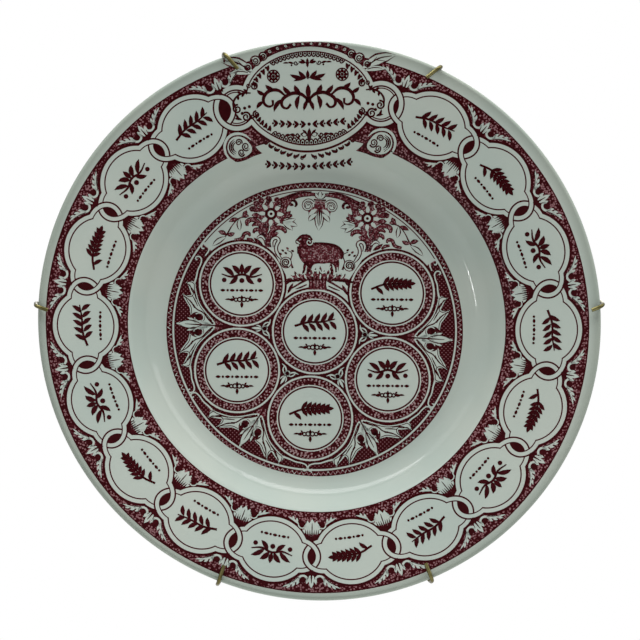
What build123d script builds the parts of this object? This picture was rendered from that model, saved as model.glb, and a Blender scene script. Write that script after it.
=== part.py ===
from build123d import *
import os
from math import cos, degrees, dist, floor, radians, sin, sqrt

# A glazed seder plate in a sprung wire wall hanger, as it hangs: the plate's axis lies along Y, its face
# looks towards -Y and its top is +Z. The origin is where the nail sits, in the arch of the hanging bail.
# Lengths are in millimetres and angles in degrees.

# Plate, turned about its axis, with heights measured forwards from the foot ring
PLATE_DIAMETER = 260.0
PLATE_HEIGHT = 28.0
VERGE_DIAMETER = 176.0
VERGE_HEIGHT = 20.0
VERGE_ROUND = 7.0
CAVETTO_WIDTH = 11.0
CAVETTO_ROUND = 13.0
BASE_THICKNESS = 4.0
WALL_THICKNESS = 5.0
RIM_THICKNESS = 4.0
BACK_ROUND = 9.0
FOOT_DEPTH = 3.0
FOOT_WIDTH = 4.0
FOOT_STEP = 3.0
FOOT_TAPER = 1.2
FOOT_ROUND = 0.8
FOOT_FILLET = 1.5

# Hanger wires, which run behind the foot ring and hook over the rim
WIRE_DIAMETER = 1.8
CLEARANCE = 0.3
HOOK_DEPTH = 7.0
HOOK_ROUND = 3.0
KNEE_OFFSET = 5.0
KNEE_ROUND = 12.0
BAR_INSET = 12.0
BAR_ROUND = 4.0
UPPER_BAR_WIDTH = 18.0
LOWER_BAR_WIDTH = 14.0
EYE_DIAMETER = 7.2
EYE_SWEEP = 270.0

# How far each hook's finger reaches over the rim, and how far the side hooks' back corners lie up the rim
UPPER_LEFT_REACH = 9.8
UPPER_RIGHT_REACH = 9.0
LEFT_REACH = 5.8
RIGHT_REACH = 6.0
LOWER_REACH = 8.5
LEFT_SKEW = 2.5
RIGHT_SKEW = 3.0

# Each hook: its angle clockwise from the top seen from the front, the counter-clockwise lean of its finger
# from straight inwards, the finger's reach, and how far its back corner lies on clockwise along the rim
HOOKS = {
    "upper_left": (-20.0, 20.8, UPPER_LEFT_REACH, 0.0),
    "upper_right": (25.3, -25.8, UPPER_RIGHT_REACH, 0.0),
    "left": (-88.1, -16.5, LEFT_REACH, LEFT_SKEW),
    "right": (86.9, 19.5, RIGHT_REACH, -RIGHT_SKEW),
    "lower_left": (-159.0, 3.3, LOWER_REACH, 0.0),
    "lower_right": (157.0, -0.9, LOWER_REACH, 0.0),
}

# Springs, and the ring that all four pull on
RING_DIAMETER = 20.0
RING_WIRE = 2.0
SPRING_WIRE = 0.9
SPRING_DIAMETER = 7.0
SPRING_PITCH = 2.0
SPRING_HOOK_DIAMETER = 5.2
SPRING_HOOK_SWEEP = 200.0
SPRING_LEAD_IN = 35.0
SPRING_RISE = 1.9
SPRING_LEAST_GAP = 0.4

# Hanging bail, whose two ends curl round the upper wire's bar
BAIL_WIRE = 1.6
BAIL_WIDTH = 10.0
BAIL_HEIGHT = 34.0
BAIL_SWEEP = 240.0

# Places that follow, in a frame on the plate's axis whose XZ plane holds the wires behind the foot ring
PLATE_RADIUS = PLATE_DIAMETER / 2
FOOT_Y = -CLEARANCE - WIRE_DIAMETER / 2
RIM_Y = FOOT_Y - PLATE_HEIGHT
WELL_HEIGHT = FOOT_DEPTH + BASE_THICKNESS
HOOK_RADIUS = PLATE_RADIUS + CLEARANCE + WIRE_DIAMETER / 2
HOOK_FRONT_Y = RIM_Y - CLEARANCE - WIRE_DIAMETER / 2
HOOK_BACK_Y = RIM_Y + HOOK_DEPTH


def between(p, q):
    return (q[0] - p[0], q[1] - p[1])


def meeting(p, u, q, v):
    """The point where the line through p along u crosses the line through q along v."""
    gap = between(p, q)
    along = (gap[0] * v[1] - gap[1] * v[0]) / (u[0] * v[1] - u[1] * v[0])
    return (p[0] + along * u[0], p[1] + along * u[1])


def behind(p, u, thickness):
    """The point that lies a wall's thickness behind p, square to the surface that runs along u."""
    length = dist((0, 0), u)
    return (p[0] + thickness * u[1] / length, p[1] - thickness * u[0] / length)


# Corners of the plate's section as (radius, height), from the well out over the rim and back to the foot
well_corner = (VERGE_DIAMETER / 2 - CAVETTO_WIDTH, WELL_HEIGHT)
verge = (VERGE_DIAMETER / 2, VERGE_HEIGHT)
rim_front = (PLATE_RADIUS, PLATE_HEIGHT)
wall_run = between(well_corner, verge)
rim_run = between(verge, rim_front)
wall_back = behind(verge, wall_run, WALL_THICKNESS)
rim_under = behind(verge, rim_run, RIM_THICKNESS)
rim_back = meeting(rim_under, rim_run, rim_front, (0, 1))
verge_back = meeting(wall_back, wall_run, rim_under, rim_run)
foot_root = meeting(wall_back, wall_run, (0, FOOT_DEPTH), (1, 0))
foot_outer = (foot_root[0] - FOOT_STEP, 0)
foot_inner = (foot_outer[0] - FOOT_WIDTH, 0)
recess = (foot_inner[0] - FOOT_TAPER, FOOT_DEPTH)
EDGE_ROUND = 0.4 * RIM_THICKNESS
KNEE_RADIUS = foot_outer[0] + KNEE_OFFSET
BAR_RADIUS = recess[0] - BAR_INSET
BAIL_Y = WIRE_DIAMETER / 2 + CLEARANCE + BAIL_WIRE / 2
NAIL_Z = BAR_RADIUS + BAIL_HEIGHT


def plate():
    corners = [(0, WELL_HEIGHT), well_corner, verge, rim_front, rim_back, verge_back]
    corners += [foot_root, foot_outer, foot_inner, recess, (0, FOOT_DEPTH)]
    rounds = [CAVETTO_ROUND, VERGE_ROUND, EDGE_ROUND, EDGE_ROUND, BACK_ROUND]
    rounds += [FOOT_FILLET, FOOT_ROUND, FOOT_ROUND, FOOT_FILLET]
    points = [(radius, FOOT_Y - height) for radius, height in corners]
    outline = FilletPolyline(*points, radius=rounds)
    axis_side = Line(outline @ 1, outline @ 0)
    return revolve(make_face([*outline.edges(), axis_side]), Axis.Y)


def swept(edges, diameter):
    """A round wire of one diameter along edges that run on into each other."""
    path = Wire(edges)
    section = Plane(path @ 0, z_dir=path % 0) * Circle(diameter / 2)
    return sweep(section, path=path)


def on_rim(angle, y):
    return Vector(HOOK_RADIUS * sin(radians(angle)), y, HOOK_RADIUS * cos(radians(angle)))


def hook(name):
    """The tip, front corner and back corner of one hook."""
    angle, lean, reach, skew = HOOKS[name]
    front = on_rim(angle, HOOK_FRONT_Y)
    back = on_rim(angle + degrees(skew / HOOK_RADIUS), HOOK_BACK_Y)
    inwards = Vector(-front.X, 0, -front.Z).normalized().rotate(Axis.Y, -lean)
    return [front + inwards * reach, front, back]


def knee(inner, outer):
    """Where a wire that runs from inner towards outer is past the foot ring and starts to rise to the rim."""
    run = Vector(outer.X - inner.X, 0, outer.Z - inner.Z).normalized()
    along = run.dot(inner)
    return inner + run * (sqrt(along**2 - inner.length**2 + KNEE_RADIUS**2) - along)


def two_hook_wire(left, right, bar_width, bar_z):
    """A wire with a hook at each end and a straight bar between its legs."""
    left_hook = hook(left)
    right_hook = hook(right)
    bar_left = Vector(-bar_width / 2, 0, bar_z)
    bar_right = Vector(bar_width / 2, 0, bar_z)
    points = left_hook + [knee(bar_left, left_hook[-1]), bar_left, bar_right]
    points += [knee(bar_right, right_hook[-1])] + right_hook[::-1]
    leg_rounds = [HOOK_ROUND, HOOK_ROUND, KNEE_ROUND, BAR_ROUND]
    path = FilletPolyline(*points, radius=leg_rounds + leg_rounds[::-1])
    return swept(path.edges(), WIRE_DIAMETER)


def side_wire(name, side):
    """A wire with a hook at the rim and a round eye at its inner end. Side is -1 on the left and 1 on the right."""
    eye_radius = EYE_DIAMETER / 2
    eye_x = side * (BAR_RADIUS + eye_radius)
    neck = Vector(eye_x, 0, eye_radius)
    rim_end = hook(name)
    points = rim_end + [Vector(side * KNEE_RADIUS, 0, eye_radius), neck]
    shank = FilletPolyline(*points, radius=[HOOK_ROUND, HOOK_ROUND, KNEE_ROUND])

    def round_eye(turn):
        angle = radians(turn)
        return Vector(eye_x - side * eye_radius * sin(angle), 0, eye_radius * cos(angle))

    half = EYE_SWEEP / 2
    eye = [
        ThreePointArc(round_eye(turn), round_eye(turn + half / 2), round_eye(turn + half))
        for turn in (0, half)
    ]
    return swept([*shank.edges(), *eye], WIRE_DIAMETER)


def biarc(start, start_way, end, end_way):
    """Two tangent arcs that leave start along one way and reach end along the other."""
    chord = end - start
    ways = start_way + end_way
    spread = 2 * (1 - start_way.dot(end_way))
    lean = chord.dot(ways)
    reach = (sqrt(lean**2 + spread * chord.dot(chord)) - lean) / spread
    first = start + start_way * reach
    last = end - end_way * reach
    middle = (first + last) * 0.5
    return [TangentArc(start, middle, tangent=start_way), TangentArc(middle, end, tangent=last - first)]


def spring_path():
    """An extension spring along Z, from its hook round the ring to its hook round a wire, as joined edges."""
    hook_radius = SPRING_HOOK_DIAMETER / 2
    coil_radius = (SPRING_DIAMETER - SPRING_WIRE) / 2
    inner_z = (RING_DIAMETER - SPRING_WIRE) / 2 - RING_WIRE - CLEARANCE + hook_radius
    outer_z = BAR_RADIUS + (WIRE_DIAMETER + SPRING_WIRE) / 2 + CLEARANCE - hook_radius
    coil_start = inner_z + SPRING_WIRE + SPRING_RISE
    coil_end = outer_z - SPRING_WIRE - SPRING_RISE
    first_angle = 90 + SPRING_LEAD_IN
    spare = 360 - 2 * first_angle
    turns = floor((coil_end - coil_start) / SPRING_PITCH - spare / 360) + spare / 360
    pitch = (coil_end - coil_start) / turns
    along = 1 / sqrt(1 + (pitch / (radians(360) * coil_radius)) ** 2)

    def coil(turn):
        """A point of the coil and its way on, after so many turns."""
        angle = radians(first_angle + 360 * turn)
        point = Vector(coil_radius * cos(angle), coil_radius * sin(angle), coil_start + pitch * turn)
        return point, Vector(-along * sin(angle), along * cos(angle), sqrt(1 - along**2))

    def end_hook(centre_z, side, turn):
        angle = radians(turn)
        return Vector(0, side * hook_radius * cos(angle), centre_z + side * hook_radius * sin(angle))

    half = SPRING_HOOK_SWEEP / 2
    edges = [
        ThreePointArc(*(end_hook(inner_z, 1, turn + part * half) for part in (0, 0.5, 1)))
        for turn in (-2 * half, -half)
    ]
    up = Vector(0, 0, 1)
    lead_start = Vector(0, hook_radius, inner_z + SPRING_WIRE)
    lead_end = Vector(0, -hook_radius, outer_z - SPRING_WIRE)
    edges += [Line(edges[-1] @ 1, lead_start)]
    edges += biarc(lead_start, up, *coil(0))
    steps = floor(2 * turns)
    stations = [coil(step * turns / steps) for step in range(steps + 1)]
    for here, there in zip(stations, stations[1:]):
        edges += biarc(*here, *there)
    edges += biarc(*stations[-1], lead_end, up)
    edges += [Line(lead_end, end_hook(outer_z, -1, 0))]
    edges += [
        ThreePointArc(*(end_hook(outer_z, -1, turn - part * half) for part in (0, 0.5, 1)))
        for turn in (0, -half)
    ]
    print("spring turns", round(turns, 2), "pitch", round(pitch, 3))
    return edges


def least_gap(edges, diameter):
    """The least gap that a wire of one diameter leaves to itself, on points half a diameter apart along it."""
    path = Wire(edges)
    count = floor(2 * path.length / diameter)
    points = [tuple(path @ (step / count)) for step in range(count + 1)]
    apart = 6
    nearest = min(dist(p, q) for n, p in enumerate(points) for q in points[n + apart:])
    return nearest - diameter


def hanging_bail():
    """An arch of wire whose ends curl forwards round the upper wire's bar."""
    half_width = BAIL_WIDTH / 2

    def curl(x, turn):
        angle = radians(turn)
        return Vector(x, BAIL_Y * cos(angle), BAR_RADIUS + BAIL_Y * sin(angle))

    def curl_arcs(x):
        half = BAIL_SWEEP / 2
        return [
            ThreePointArc(*(curl(x, turn + part * half) for part in (0, 0.5, 1)))
            for turn in (-2 * half, -half)
        ]

    left_foot, right_foot = (curl(x, 0) for x in (-half_width, half_width))
    left_top, right_top = (Vector(x, BAIL_Y, NAIL_Z) for x in (-half_width, half_width))
    crown = Vector(0, BAIL_Y, NAIL_Z + half_width)
    edges = curl_arcs(-half_width)
    edges += [Line(left_foot, left_top), ThreePointArc(left_top, crown, right_top), Line(right_top, right_foot)]
    edges += curl_arcs(half_width)[::-1]
    return swept(edges, BAIL_WIRE)


def centre_ring():
    return Rot(90, 0, 0) * Torus((RING_DIAMETER - RING_WIRE) / 2, RING_WIRE / 2)


coil_edges = spring_path()
spring_gap = least_gap(coil_edges, SPRING_WIRE)
print("spring's least gap to itself", round(spring_gap, 3), "over", SPRING_LEAST_GAP, spring_gap > SPRING_LEAST_GAP)
spring = swept(coil_edges, SPRING_WIRE)

nodes = {
    "plate": plate(),
    "upper_wire": two_hook_wire("upper_left", "upper_right", UPPER_BAR_WIDTH, BAR_RADIUS),
    "lower_wire": two_hook_wire("lower_left", "lower_right", LOWER_BAR_WIDTH, -BAR_RADIUS),
    "left_wire": side_wire("left", -1),
    "right_wire": side_wire("right", 1),
    "centre_ring": centre_ring(),
    "hanging_bail": hanging_bail(),
}
for place, turn in (("upper", 0), ("right", 90), ("lower", 180), ("left", 270)):
    nodes[f"{place}_spring"] = Rot(0, turn, 0) * spring

# The frame moves from the plate's axis to the nail's seat in the bail's arch
to_nail = Pos(0, -BAIL_Y, -NAIL_Z)
os.makedirs("parts", exist_ok=True)
for name, solid in nodes.items():
    export_step(to_nail * solid, f"parts/{name}.step")
    print(name, "volume", round(solid.volume, 1))
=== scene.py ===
# %% [markdown]
# # A seder plate in its sprung wall hanger
# The object is a turned, glazed earthenware plate with a maroon print under its glaze, held on a wall by
# bent brass wires that springs pull onto its rim. The construction comes packed as a fixed frame. This
# lesson gives each surface its finish: it models the plate again as one fine turned mesh, works out the
# regular print as shader maths, draws the leaves and figures as thin laid films, and winds the springs.

# %% The frame that everything is built around
from math import atan2, ceil, cos, dist, floor, pi, radians, sin, sqrt, tan

import bpy
from mathutils import Matrix, Vector


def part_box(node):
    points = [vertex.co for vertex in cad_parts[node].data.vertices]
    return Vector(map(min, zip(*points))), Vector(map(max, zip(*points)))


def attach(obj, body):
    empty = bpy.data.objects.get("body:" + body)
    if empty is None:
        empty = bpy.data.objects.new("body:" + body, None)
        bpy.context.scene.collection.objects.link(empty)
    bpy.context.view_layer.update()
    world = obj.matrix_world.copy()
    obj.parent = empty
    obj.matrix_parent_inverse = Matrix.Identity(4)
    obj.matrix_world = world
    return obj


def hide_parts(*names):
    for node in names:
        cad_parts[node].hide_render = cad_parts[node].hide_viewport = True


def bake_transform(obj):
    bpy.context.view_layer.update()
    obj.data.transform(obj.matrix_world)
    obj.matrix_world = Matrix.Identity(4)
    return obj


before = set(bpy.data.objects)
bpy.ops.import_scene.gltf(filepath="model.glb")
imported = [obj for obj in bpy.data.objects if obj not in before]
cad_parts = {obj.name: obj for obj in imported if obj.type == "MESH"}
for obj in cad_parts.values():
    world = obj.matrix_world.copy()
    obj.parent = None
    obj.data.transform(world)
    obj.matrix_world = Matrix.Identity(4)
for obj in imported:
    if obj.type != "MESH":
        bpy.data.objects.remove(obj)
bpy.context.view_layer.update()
bpy.ops.object.select_all(action="DESELECT")
MM = 0.001
plate_low, plate_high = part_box("plate")
AXIS_Z = (plate_low.z + plate_high.z) / 2
FOOT_Y = plate_high.y
PLATE_RADIUS = (plate_high.x - plate_low.x) / 2 / MM
print("plate of", round(2 * PLATE_RADIUS, 1), "mm, its axis at", round(AXIS_Z / MM, 2), "mm")

# %% [markdown]
# ## The camera
# The photograph looks up at the plate from a little below and to the left. Its circles are hardly drawn
# together by distance, so a long lens far away gives the same view. The aim and the lens put the plate's
# edge where the photograph has it.

# %% A long lens below the plate
VIEW_AZIMUTH = radians(-4.0)
VIEW_ELEVATION = radians(-7.5)
VIEW_DISTANCE = 2.5
LENS_LENGTH = 305.1
AIM = Vector((-0.21 * MM, FOOT_Y - 26.0 * MM, AXIS_Z - 0.50 * MM))


def towards(azimuth, elevation):
    """The way from the object to something that stands at these angles, as for the camera."""
    level = cos(elevation)
    return Vector((sin(azimuth) * level, -cos(azimuth) * level, sin(elevation)))


to_camera = towards(VIEW_AZIMUTH, VIEW_ELEVATION)
bpy.ops.object.camera_add(location=AIM + VIEW_DISTANCE * to_camera)
camera = bpy.context.object
camera.rotation_euler = to_camera.to_track_quat("Z", "Y").to_euler()
camera.data.lens = LENS_LENGTH
bpy.context.scene.camera = camera
bpy.context.scene.view_settings.view_transform = "Standard"
print("camera at", [round(v, 3) for v in camera.location])

# %% [markdown]
# ## Shader maths
# The regular print is a sum of circles and bands, so it can be worked out for every point of the surface.
# Wiring that by hand would take hundreds of nodes. Instead one small class wraps a node's output, so that
# Python's own operators add the Math nodes, and one method adds any other node.

# %% Values that vary over a surface
INK_EDGE = 0.09


class Value:
    """A number that varies over a surface. Python's operators on it add Math nodes beside it."""

    def __init__(self, nodes, socket):
        self.nodes = nodes
        self.socket = socket

    def math(self, operation, *others):
        return self.nodes.math(operation, self, *others)

    def __add__(self, other):
        return self.math("ADD", other)

    def __sub__(self, other):
        return self.math("SUBTRACT", other)

    def __rsub__(self, other):
        return self.nodes.math("SUBTRACT", other, self)

    def __mul__(self, other):
        return self.math("MULTIPLY", other)

    def __truediv__(self, other):
        return self.math("DIVIDE", other)

    def __abs__(self):
        return self.math("ABSOLUTE")

    __radd__ = __add__
    __rmul__ = __mul__


class Nodes:
    """A tree of nodes, and the one way to add a node to it."""

    def __init__(self, tree):
        self.tree = tree

    def set(self, socket, value):
        if isinstance(value, Value):
            self.tree.links.new(value.socket, socket)
        else:
            socket.default_value = value

    def node(self, kind, settings, inputs, output=0):
        made = self.tree.nodes.new(kind)
        for name, setting in settings.items():
            setattr(made, name, setting)
        for name, value in inputs.items():
            self.set(made.inputs[name], value)
        return Value(self, made.outputs[output])

    def math(self, operation, *values):
        return self.node("ShaderNodeMath", {"operation": operation}, dict(enumerate(values)))

    def seen(self):
        """1 where something is seen, also in a reflection or through glass, 0 where it only gives light."""
        rays = ("Is Camera Ray", "Is Glossy Ray", "Is Transmission Ray")
        straight, mirrored, through = (self.node("ShaderNodeLightPath", {}, {}, ray) for ray in rays)
        return straight.math("MAXIMUM", mirrored).math("MAXIMUM", through)


class Finish(Nodes):
    """The nodes of a new material."""

    def __init__(self, name):
        self.material = bpy.data.materials.new(name)
        self.material.use_nodes = True
        super().__init__(self.material.node_tree)
        self.shader = self.tree.nodes["Principled BSDF"]

    def surface(self, **inputs):
        """Sets the shader's own sockets, with spaces for underscores."""
        for name, value in inputs.items():
            self.set(self.shader.inputs[name.replace("_", " ").title().replace("Ior", "IOR")], value)

    def place(self):
        """The surface's own coordinates, in metres."""
        return self.node("ShaderNodeTexCoord", {}, {}, "Object")

    def on_face(self, centre):
        """How far right of and above a centre on the plate's face a place lies, in millimetres."""
        split = {"Vector": self.place()}
        x = self.node("ShaderNodeSeparateXYZ", {}, split, "X")
        z = self.node("ShaderNodeSeparateXYZ", {}, split, "Z")
        return x / MM - centre[0], (z - AXIS_Z) / MM - centre[1]

    def forward(self):
        """How far in front of the plate's foot a place lies, in millimetres."""
        return (FOOT_Y - self.node("ShaderNodeSeparateXYZ", {}, {"Vector": self.place()}, "Y")) / MM

    def noise(self, size, detail=2.0):
        """Soft mottling whose blotches are about so many millimetres across."""
        inputs = {"Vector": self.place(), "Scale": 1 / (size * MM), "Detail": detail}
        return self.node("ShaderNodeTexNoise", {}, inputs)

    def mixed(self, low, high, share, way="MIX"):
        """A colour between two colours, or another mix of them."""
        colours = {"Factor": share, 6: low, 7: high}
        return self.node("ShaderNodeMix", {"data_type": "RGBA", "blend_type": way}, colours, 2)


def length(x, y):
    return (x * x + y * y).math("SQRT")


def rising(x, edge, soft=INK_EDGE):
    """0 below an edge and 1 above it, with a soft step."""
    steps = {"Value": x, "From Min": edge - soft, "From Max": edge + soft}
    return x.nodes.node("ShaderNodeMapRange", {"interpolation_type": "SMOOTHSTEP"}, steps)


def band(x, middle, width, soft=INK_EDGE):
    """1 within a band of this width about its middle, and 0 outside it."""
    return 1 - rising(abs(x - middle), width / 2, soft)


def over(under, top, cover):
    """What shows where top covers under."""
    return under + (top - under) * cover


# %% [markdown]
# ## The studio
# A pale floor lies well below, and the background is a plain white. The world shows that white to the
# camera and in reflections, and lights the plate more softly than it shows, so that a colour renders about
# as it is written. Soft lamps above and at both sides, stronger on the right, brighten the lower half of the
# plate's curved wall, and a small one makes the thin arc on its right.

# %% Floor, world and lamps
FLOOR_DROP = 0.40
FLOOR_SIZE = 16.0
FLOOR_PAINT = (0.90, 0.90, 0.89, 1)
FLOOR_GLOW = 0.32
FLOOR_ROUGHNESS = 0.9
WORLD_LIGHT = 0.19
PLATE_FACE = Vector((0, FOOT_Y - 14 * MM, AXIS_Z))

world = bpy.data.worlds.new("white_studio")
world.use_nodes = True
bpy.context.scene.world = world
sky = Nodes(world.node_tree)
background = sky.tree.nodes["Background"]
sky.set(background.inputs["Color"], (1, 1, 1, 1))
sky.set(background.inputs["Strength"], over(WORLD_LIGHT, 1.0, sky.seen()))

bpy.ops.mesh.primitive_plane_add(size=FLOOR_SIZE, location=(0, 0, plate_low.z - FLOOR_DROP))
floor_sheet = bpy.context.object
floor_sheet.name = "floor"
paint = Finish("pale_floor")
paint.surface(base_color=FLOOR_PAINT, roughness=FLOOR_ROUGHNESS)
paint.surface(emission_color=paint.seen(), emission_strength=FLOOR_GLOW)
floor_sheet.data.materials.append(paint.material)


def lamp(name, azimuth, elevation, distance, width, height, power):
    """A soft rectangular lamp that shines on the plate's face from angles in degrees."""
    way = towards(radians(azimuth), radians(elevation))
    bpy.ops.object.light_add(type="AREA", location=PLATE_FACE + distance * way)
    light = bpy.context.object
    light.name = name
    light.rotation_euler = way.to_track_quat("Z", "Y").to_euler()
    light.data.shape = "RECTANGLE"
    light.data.size = width
    light.data.size_y = height
    light.data.energy = power


lamp("ceiling_softbox", -4, 76, distance=1.6, width=1.6, height=0.8, power=35.0)
lamp("right_softbox", 78, 40, distance=1.8, width=1.3, height=1.3, power=21.0)
lamp("left_softbox", -78, 52, distance=1.8, width=1.3, height=1.3, power=8.5)
lamp("left_glint", -27, 0, distance=1.6, width=0.05, height=0.24, power=2.6)
lamp("back_fill", 165, 35, distance=1.8, width=1.2, height=1.2, power=12.0)
print("floor at", round(floor_sheet.location.z, 3), "m,", len(bpy.data.lights), "lamps")

# %% [markdown]
# ## The plate's clay
# The plate was turned on a wheel, so it is one section spun about its axis. The corners of its back follow
# from those of its face and from the thickness of the clay. The section is drawn as by hand: one vertex is
# extruded from corner to corner, each corner vertex is bevelled to its round, and the line is spun. A turned
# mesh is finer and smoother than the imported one, and it has the same sizes.

# %% Section and spin
SPIN_STEPS = 288
ROUND_STEP = radians(6)
SAME_PLACE = 0.01 * MM
WELD_DISTANCE = 0.002 * MM
WELL_CORNER = (77.0, 7.0)
VERGE = (88.0, 20.0)
LIP = (130.0, 28.0)
WALL_THICKNESS = 5.0
RIM_THICKNESS = 4.0
FOOT_DEPTH = 3.0
FOOT_WIDTH = 4.0
FOOT_STEP = 3.0
FOOT_TAPER = 1.2


def line_behind(start, end, thickness):
    """The slope of the line a thickness behind the face from start to end, and its height at the axis."""
    slope = (end[1] - start[1]) / (end[0] - start[0])
    return slope, start[1] - slope * start[0] - thickness * sqrt(1 + slope**2)


wall_slope, wall_height = line_behind(WELL_CORNER, VERGE, WALL_THICKNESS)
rim_slope, rim_height = line_behind(VERGE, LIP, RIM_THICKNESS)
verge_back = (rim_height - wall_height) / (wall_slope - rim_slope)
foot_root = (FOOT_DEPTH - wall_height) / wall_slope
foot_outer = foot_root - FOOT_STEP
foot_inner = foot_outer - FOOT_WIDTH
recess = foot_inner - FOOT_TAPER
# Each corner's radius and height, and how much it is rounded
SECTION = [
    (0.0, WELL_CORNER[1], 0.0),
    (*WELL_CORNER, 13.0),
    (*VERGE, 7.0),
    (*LIP, 1.6),
    (LIP[0], rim_slope * LIP[0] + rim_height, 1.6),
    (verge_back, rim_slope * verge_back + rim_height, 9.0),
    (foot_root, FOOT_DEPTH, 1.5),
    (foot_outer, 0.0, 0.8),
    (foot_inner, 0.0, 0.8),
    (recess, FOOT_DEPTH, 1.5),
    (0.0, FOOT_DEPTH, 0.0),
]


def plate_point(a, b, forward):
    """A place on the plate: so many mm to the right of its axis, above it, and forward of its foot."""
    return Vector((a * MM, FOOT_Y - forward * MM, AXIS_Z + b * MM))


def turn_at(before, corner, after):
    """How far a section turns at a corner, in radians."""
    way_in = atan2(corner[1] - before[1], corner[0] - before[0])
    way_out = atan2(after[1] - corner[1], after[0] - corner[0])
    return abs((way_out - way_in + pi) % (2 * pi) - pi)


def only_select(mesh_object, wanted):
    """In edit mode, selects the vertices whose place passes a test."""
    bpy.ops.mesh.select_all(action="DESELECT")
    bpy.ops.object.mode_set(mode="OBJECT")
    for vertex in mesh_object.data.vertices:
        vertex.select = wanted(vertex.co)
    bpy.ops.object.mode_set(mode="EDIT")


bpy.ops.mesh.primitive_plane_add(size=MM)
plate = bpy.context.object
plate.name = "printed_plate"
bpy.ops.object.mode_set(mode="EDIT")
bpy.ops.mesh.merge(type="CENTER")
corners = [plate_point(radius, 0, height) for radius, height, _ in SECTION]
bpy.ops.transform.translate(value=corners[0])
for start, end in zip(corners, corners[1:]):
    bpy.ops.mesh.extrude_region_move(TRANSFORM_OT_translate={"value": end - start})
for before, corner, after in zip(SECTION, SECTION[1:], SECTION[2:]):
    turn = turn_at(before, corner, after)
    place = plate_point(corner[0], 0, corner[1])
    only_select(plate, lambda co: (co - place).length < SAME_PLACE)
    bpy.ops.mesh.bevel(
        affect="VERTICES", offset=corner[2] * tan(turn / 2) * MM, segments=ceil(turn / ROUND_STEP)
    )
bpy.ops.mesh.select_all(action="SELECT")
bpy.ops.mesh.spin(steps=SPIN_STEPS, angle=2 * pi, center=(0, 0, AXIS_Z), axis=(0, 1, 0))
bpy.ops.mesh.select_all(action="SELECT")
bpy.ops.mesh.remove_doubles(threshold=WELD_DISTANCE)
bpy.ops.mesh.normals_make_consistent(inside=False)
bpy.ops.object.mode_set(mode="OBJECT")
bpy.ops.object.transform_apply(location=True, rotation=True, scale=True)
bpy.ops.object.shade_smooth()
print("plate mesh:", len(plate.data.vertices), "vertices", len(plate.data.polygons), "faces",
      [round(v / MM, 2) for v in plate.dimensions])
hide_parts("plate")
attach(plate, "dish")

# %% [markdown]
# ## Glaze and ink
# Earthenware under a clear glaze is a cool grey-white with faint warm and cool clouds, smooth and glossy,
# with a slow waviness where the glaze pooled. Towards the lip the colour is darkened a little, as painted
# shade. Where the foot ring rests, the clay is worn bare. Ink is a coloured film under the glaze: the
# thinner it lies, the more light passes through it to the clay and back, so a Gamma node raises the share
# of light that passes to the ink's density. Bare glaze mirrors a lamp more clearly than the printed faces do.

# %% The glazed finish, with any ink pattern under it
GLAZE_COOL = (0.35, 0.407, 0.370, 1)
GLAZE_WARM = (0.39, 0.432, 0.388, 1)
INK_THROUGH = (0.060, 0.0022, 0.0045, 1)
LIP_START = 123.0
LIP_FADE = 3.0
# Painted shade: a darker colour multiplied into the glaze towards the lip
LIP_PAINTED_SHADE = (0.72, 0.725, 0.70, 1)
BARE_CLAY = (0.40, 0.33, 0.25, 1)
FOOT_RING = (foot_outer + foot_inner) / 2
FOOT_WEAR = 3.0
WEAR_HEIGHT = 0.3
WEAR_SIZE = 4.0
INK_LOSS = 0.12
INK_LOSS_SIZE = 2.2
GLAZE_SHEEN = 0.16
PRINT_SHEEN = 0.04
GLAZE_ROUGHNESS = (0.045, 0.04)
LIP_ROUGHNESS = 0.35
CLAY_ROUGHNESS = 0.75
CLOUD_SIZE = 45.0
SMEAR_SIZE = 9.0
WAVE_SIZE = 16.0
WAVE_STRENGTH = 0.035
WAVE_HEIGHT = 2 * MM


def glazed(name, ink_pattern=None):
    """Glazed earthenware, with a print whose density a function of the finish gives."""
    finish = Finish(name)
    clouds = rising(finish.noise(CLOUD_SIZE), 0.5, 0.22)
    colour = finish.mixed(GLAZE_COOL, GLAZE_WARM, clouds)
    radius = length(*finish.on_face((0, 0)))
    lip = rising(radius, LIP_START + LIP_FADE, LIP_FADE)
    # Towards the lip the colour is multiplied darker: painted shade
    colour = finish.mixed(colour, LIP_PAINTED_SHADE, lip, "MULTIPLY")
    if ink_pattern:
        density = ink_pattern(finish) * (1 - INK_LOSS * rising(finish.noise(INK_LOSS_SIZE, 3.0), 0.5, 0.25))
        through = finish.node("ShaderNodeGamma", {}, {"Color": INK_THROUGH, "Gamma": density})
        colour = finish.mixed(colour, through, 1.0, "MULTIPLY")
    swell = {"Strength": WAVE_STRENGTH, "Distance": WAVE_HEIGHT, "Height": finish.noise(WAVE_SIZE, 1.0)}
    waves = finish.node("ShaderNodeBump", {}, swell)
    roughness = GLAZE_ROUGHNESS[0] + GLAZE_ROUGHNESS[1] * finish.noise(SMEAR_SIZE) + LIP_ROUGHNESS * lip
    if not ink_pattern:
        worn = band(radius, FOOT_RING, FOOT_WEAR, 0.3) * (1 - rising(finish.forward(), WEAR_HEIGHT, 0.2))
        worn = worn * (0.75 + 0.25 * rising(finish.noise(WEAR_SIZE), 0.5, 0.2))
        colour = finish.mixed(colour, BARE_CLAY, worn)
        roughness = over(roughness, CLAY_ROUGHNESS, worn)
    sheen = PRINT_SHEEN if ink_pattern else GLAZE_SHEEN
    finish.surface(base_color=colour, roughness=roughness, specular_ior_level=sheen, normal=waves)
    return finish.material


def stipple(finish, pitch, share, size):
    """Light specks in the ink, so far apart and so large for that."""
    cells = {"Vector": finish.place(), "Scale": 1 / (pitch * MM)}
    spots = finish.node("ShaderNodeTexVoronoi", {}, cells, "Distance")
    return share * (1 - rising(spots, size, 0.12))


def solid_ink(finish):
    """Ink laid on thick, with the grain of the engraved plate in it."""
    return 1.0 - 0.08 * rising(finish.noise(1.1, 1.0), 0.5, 0.2)


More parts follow.
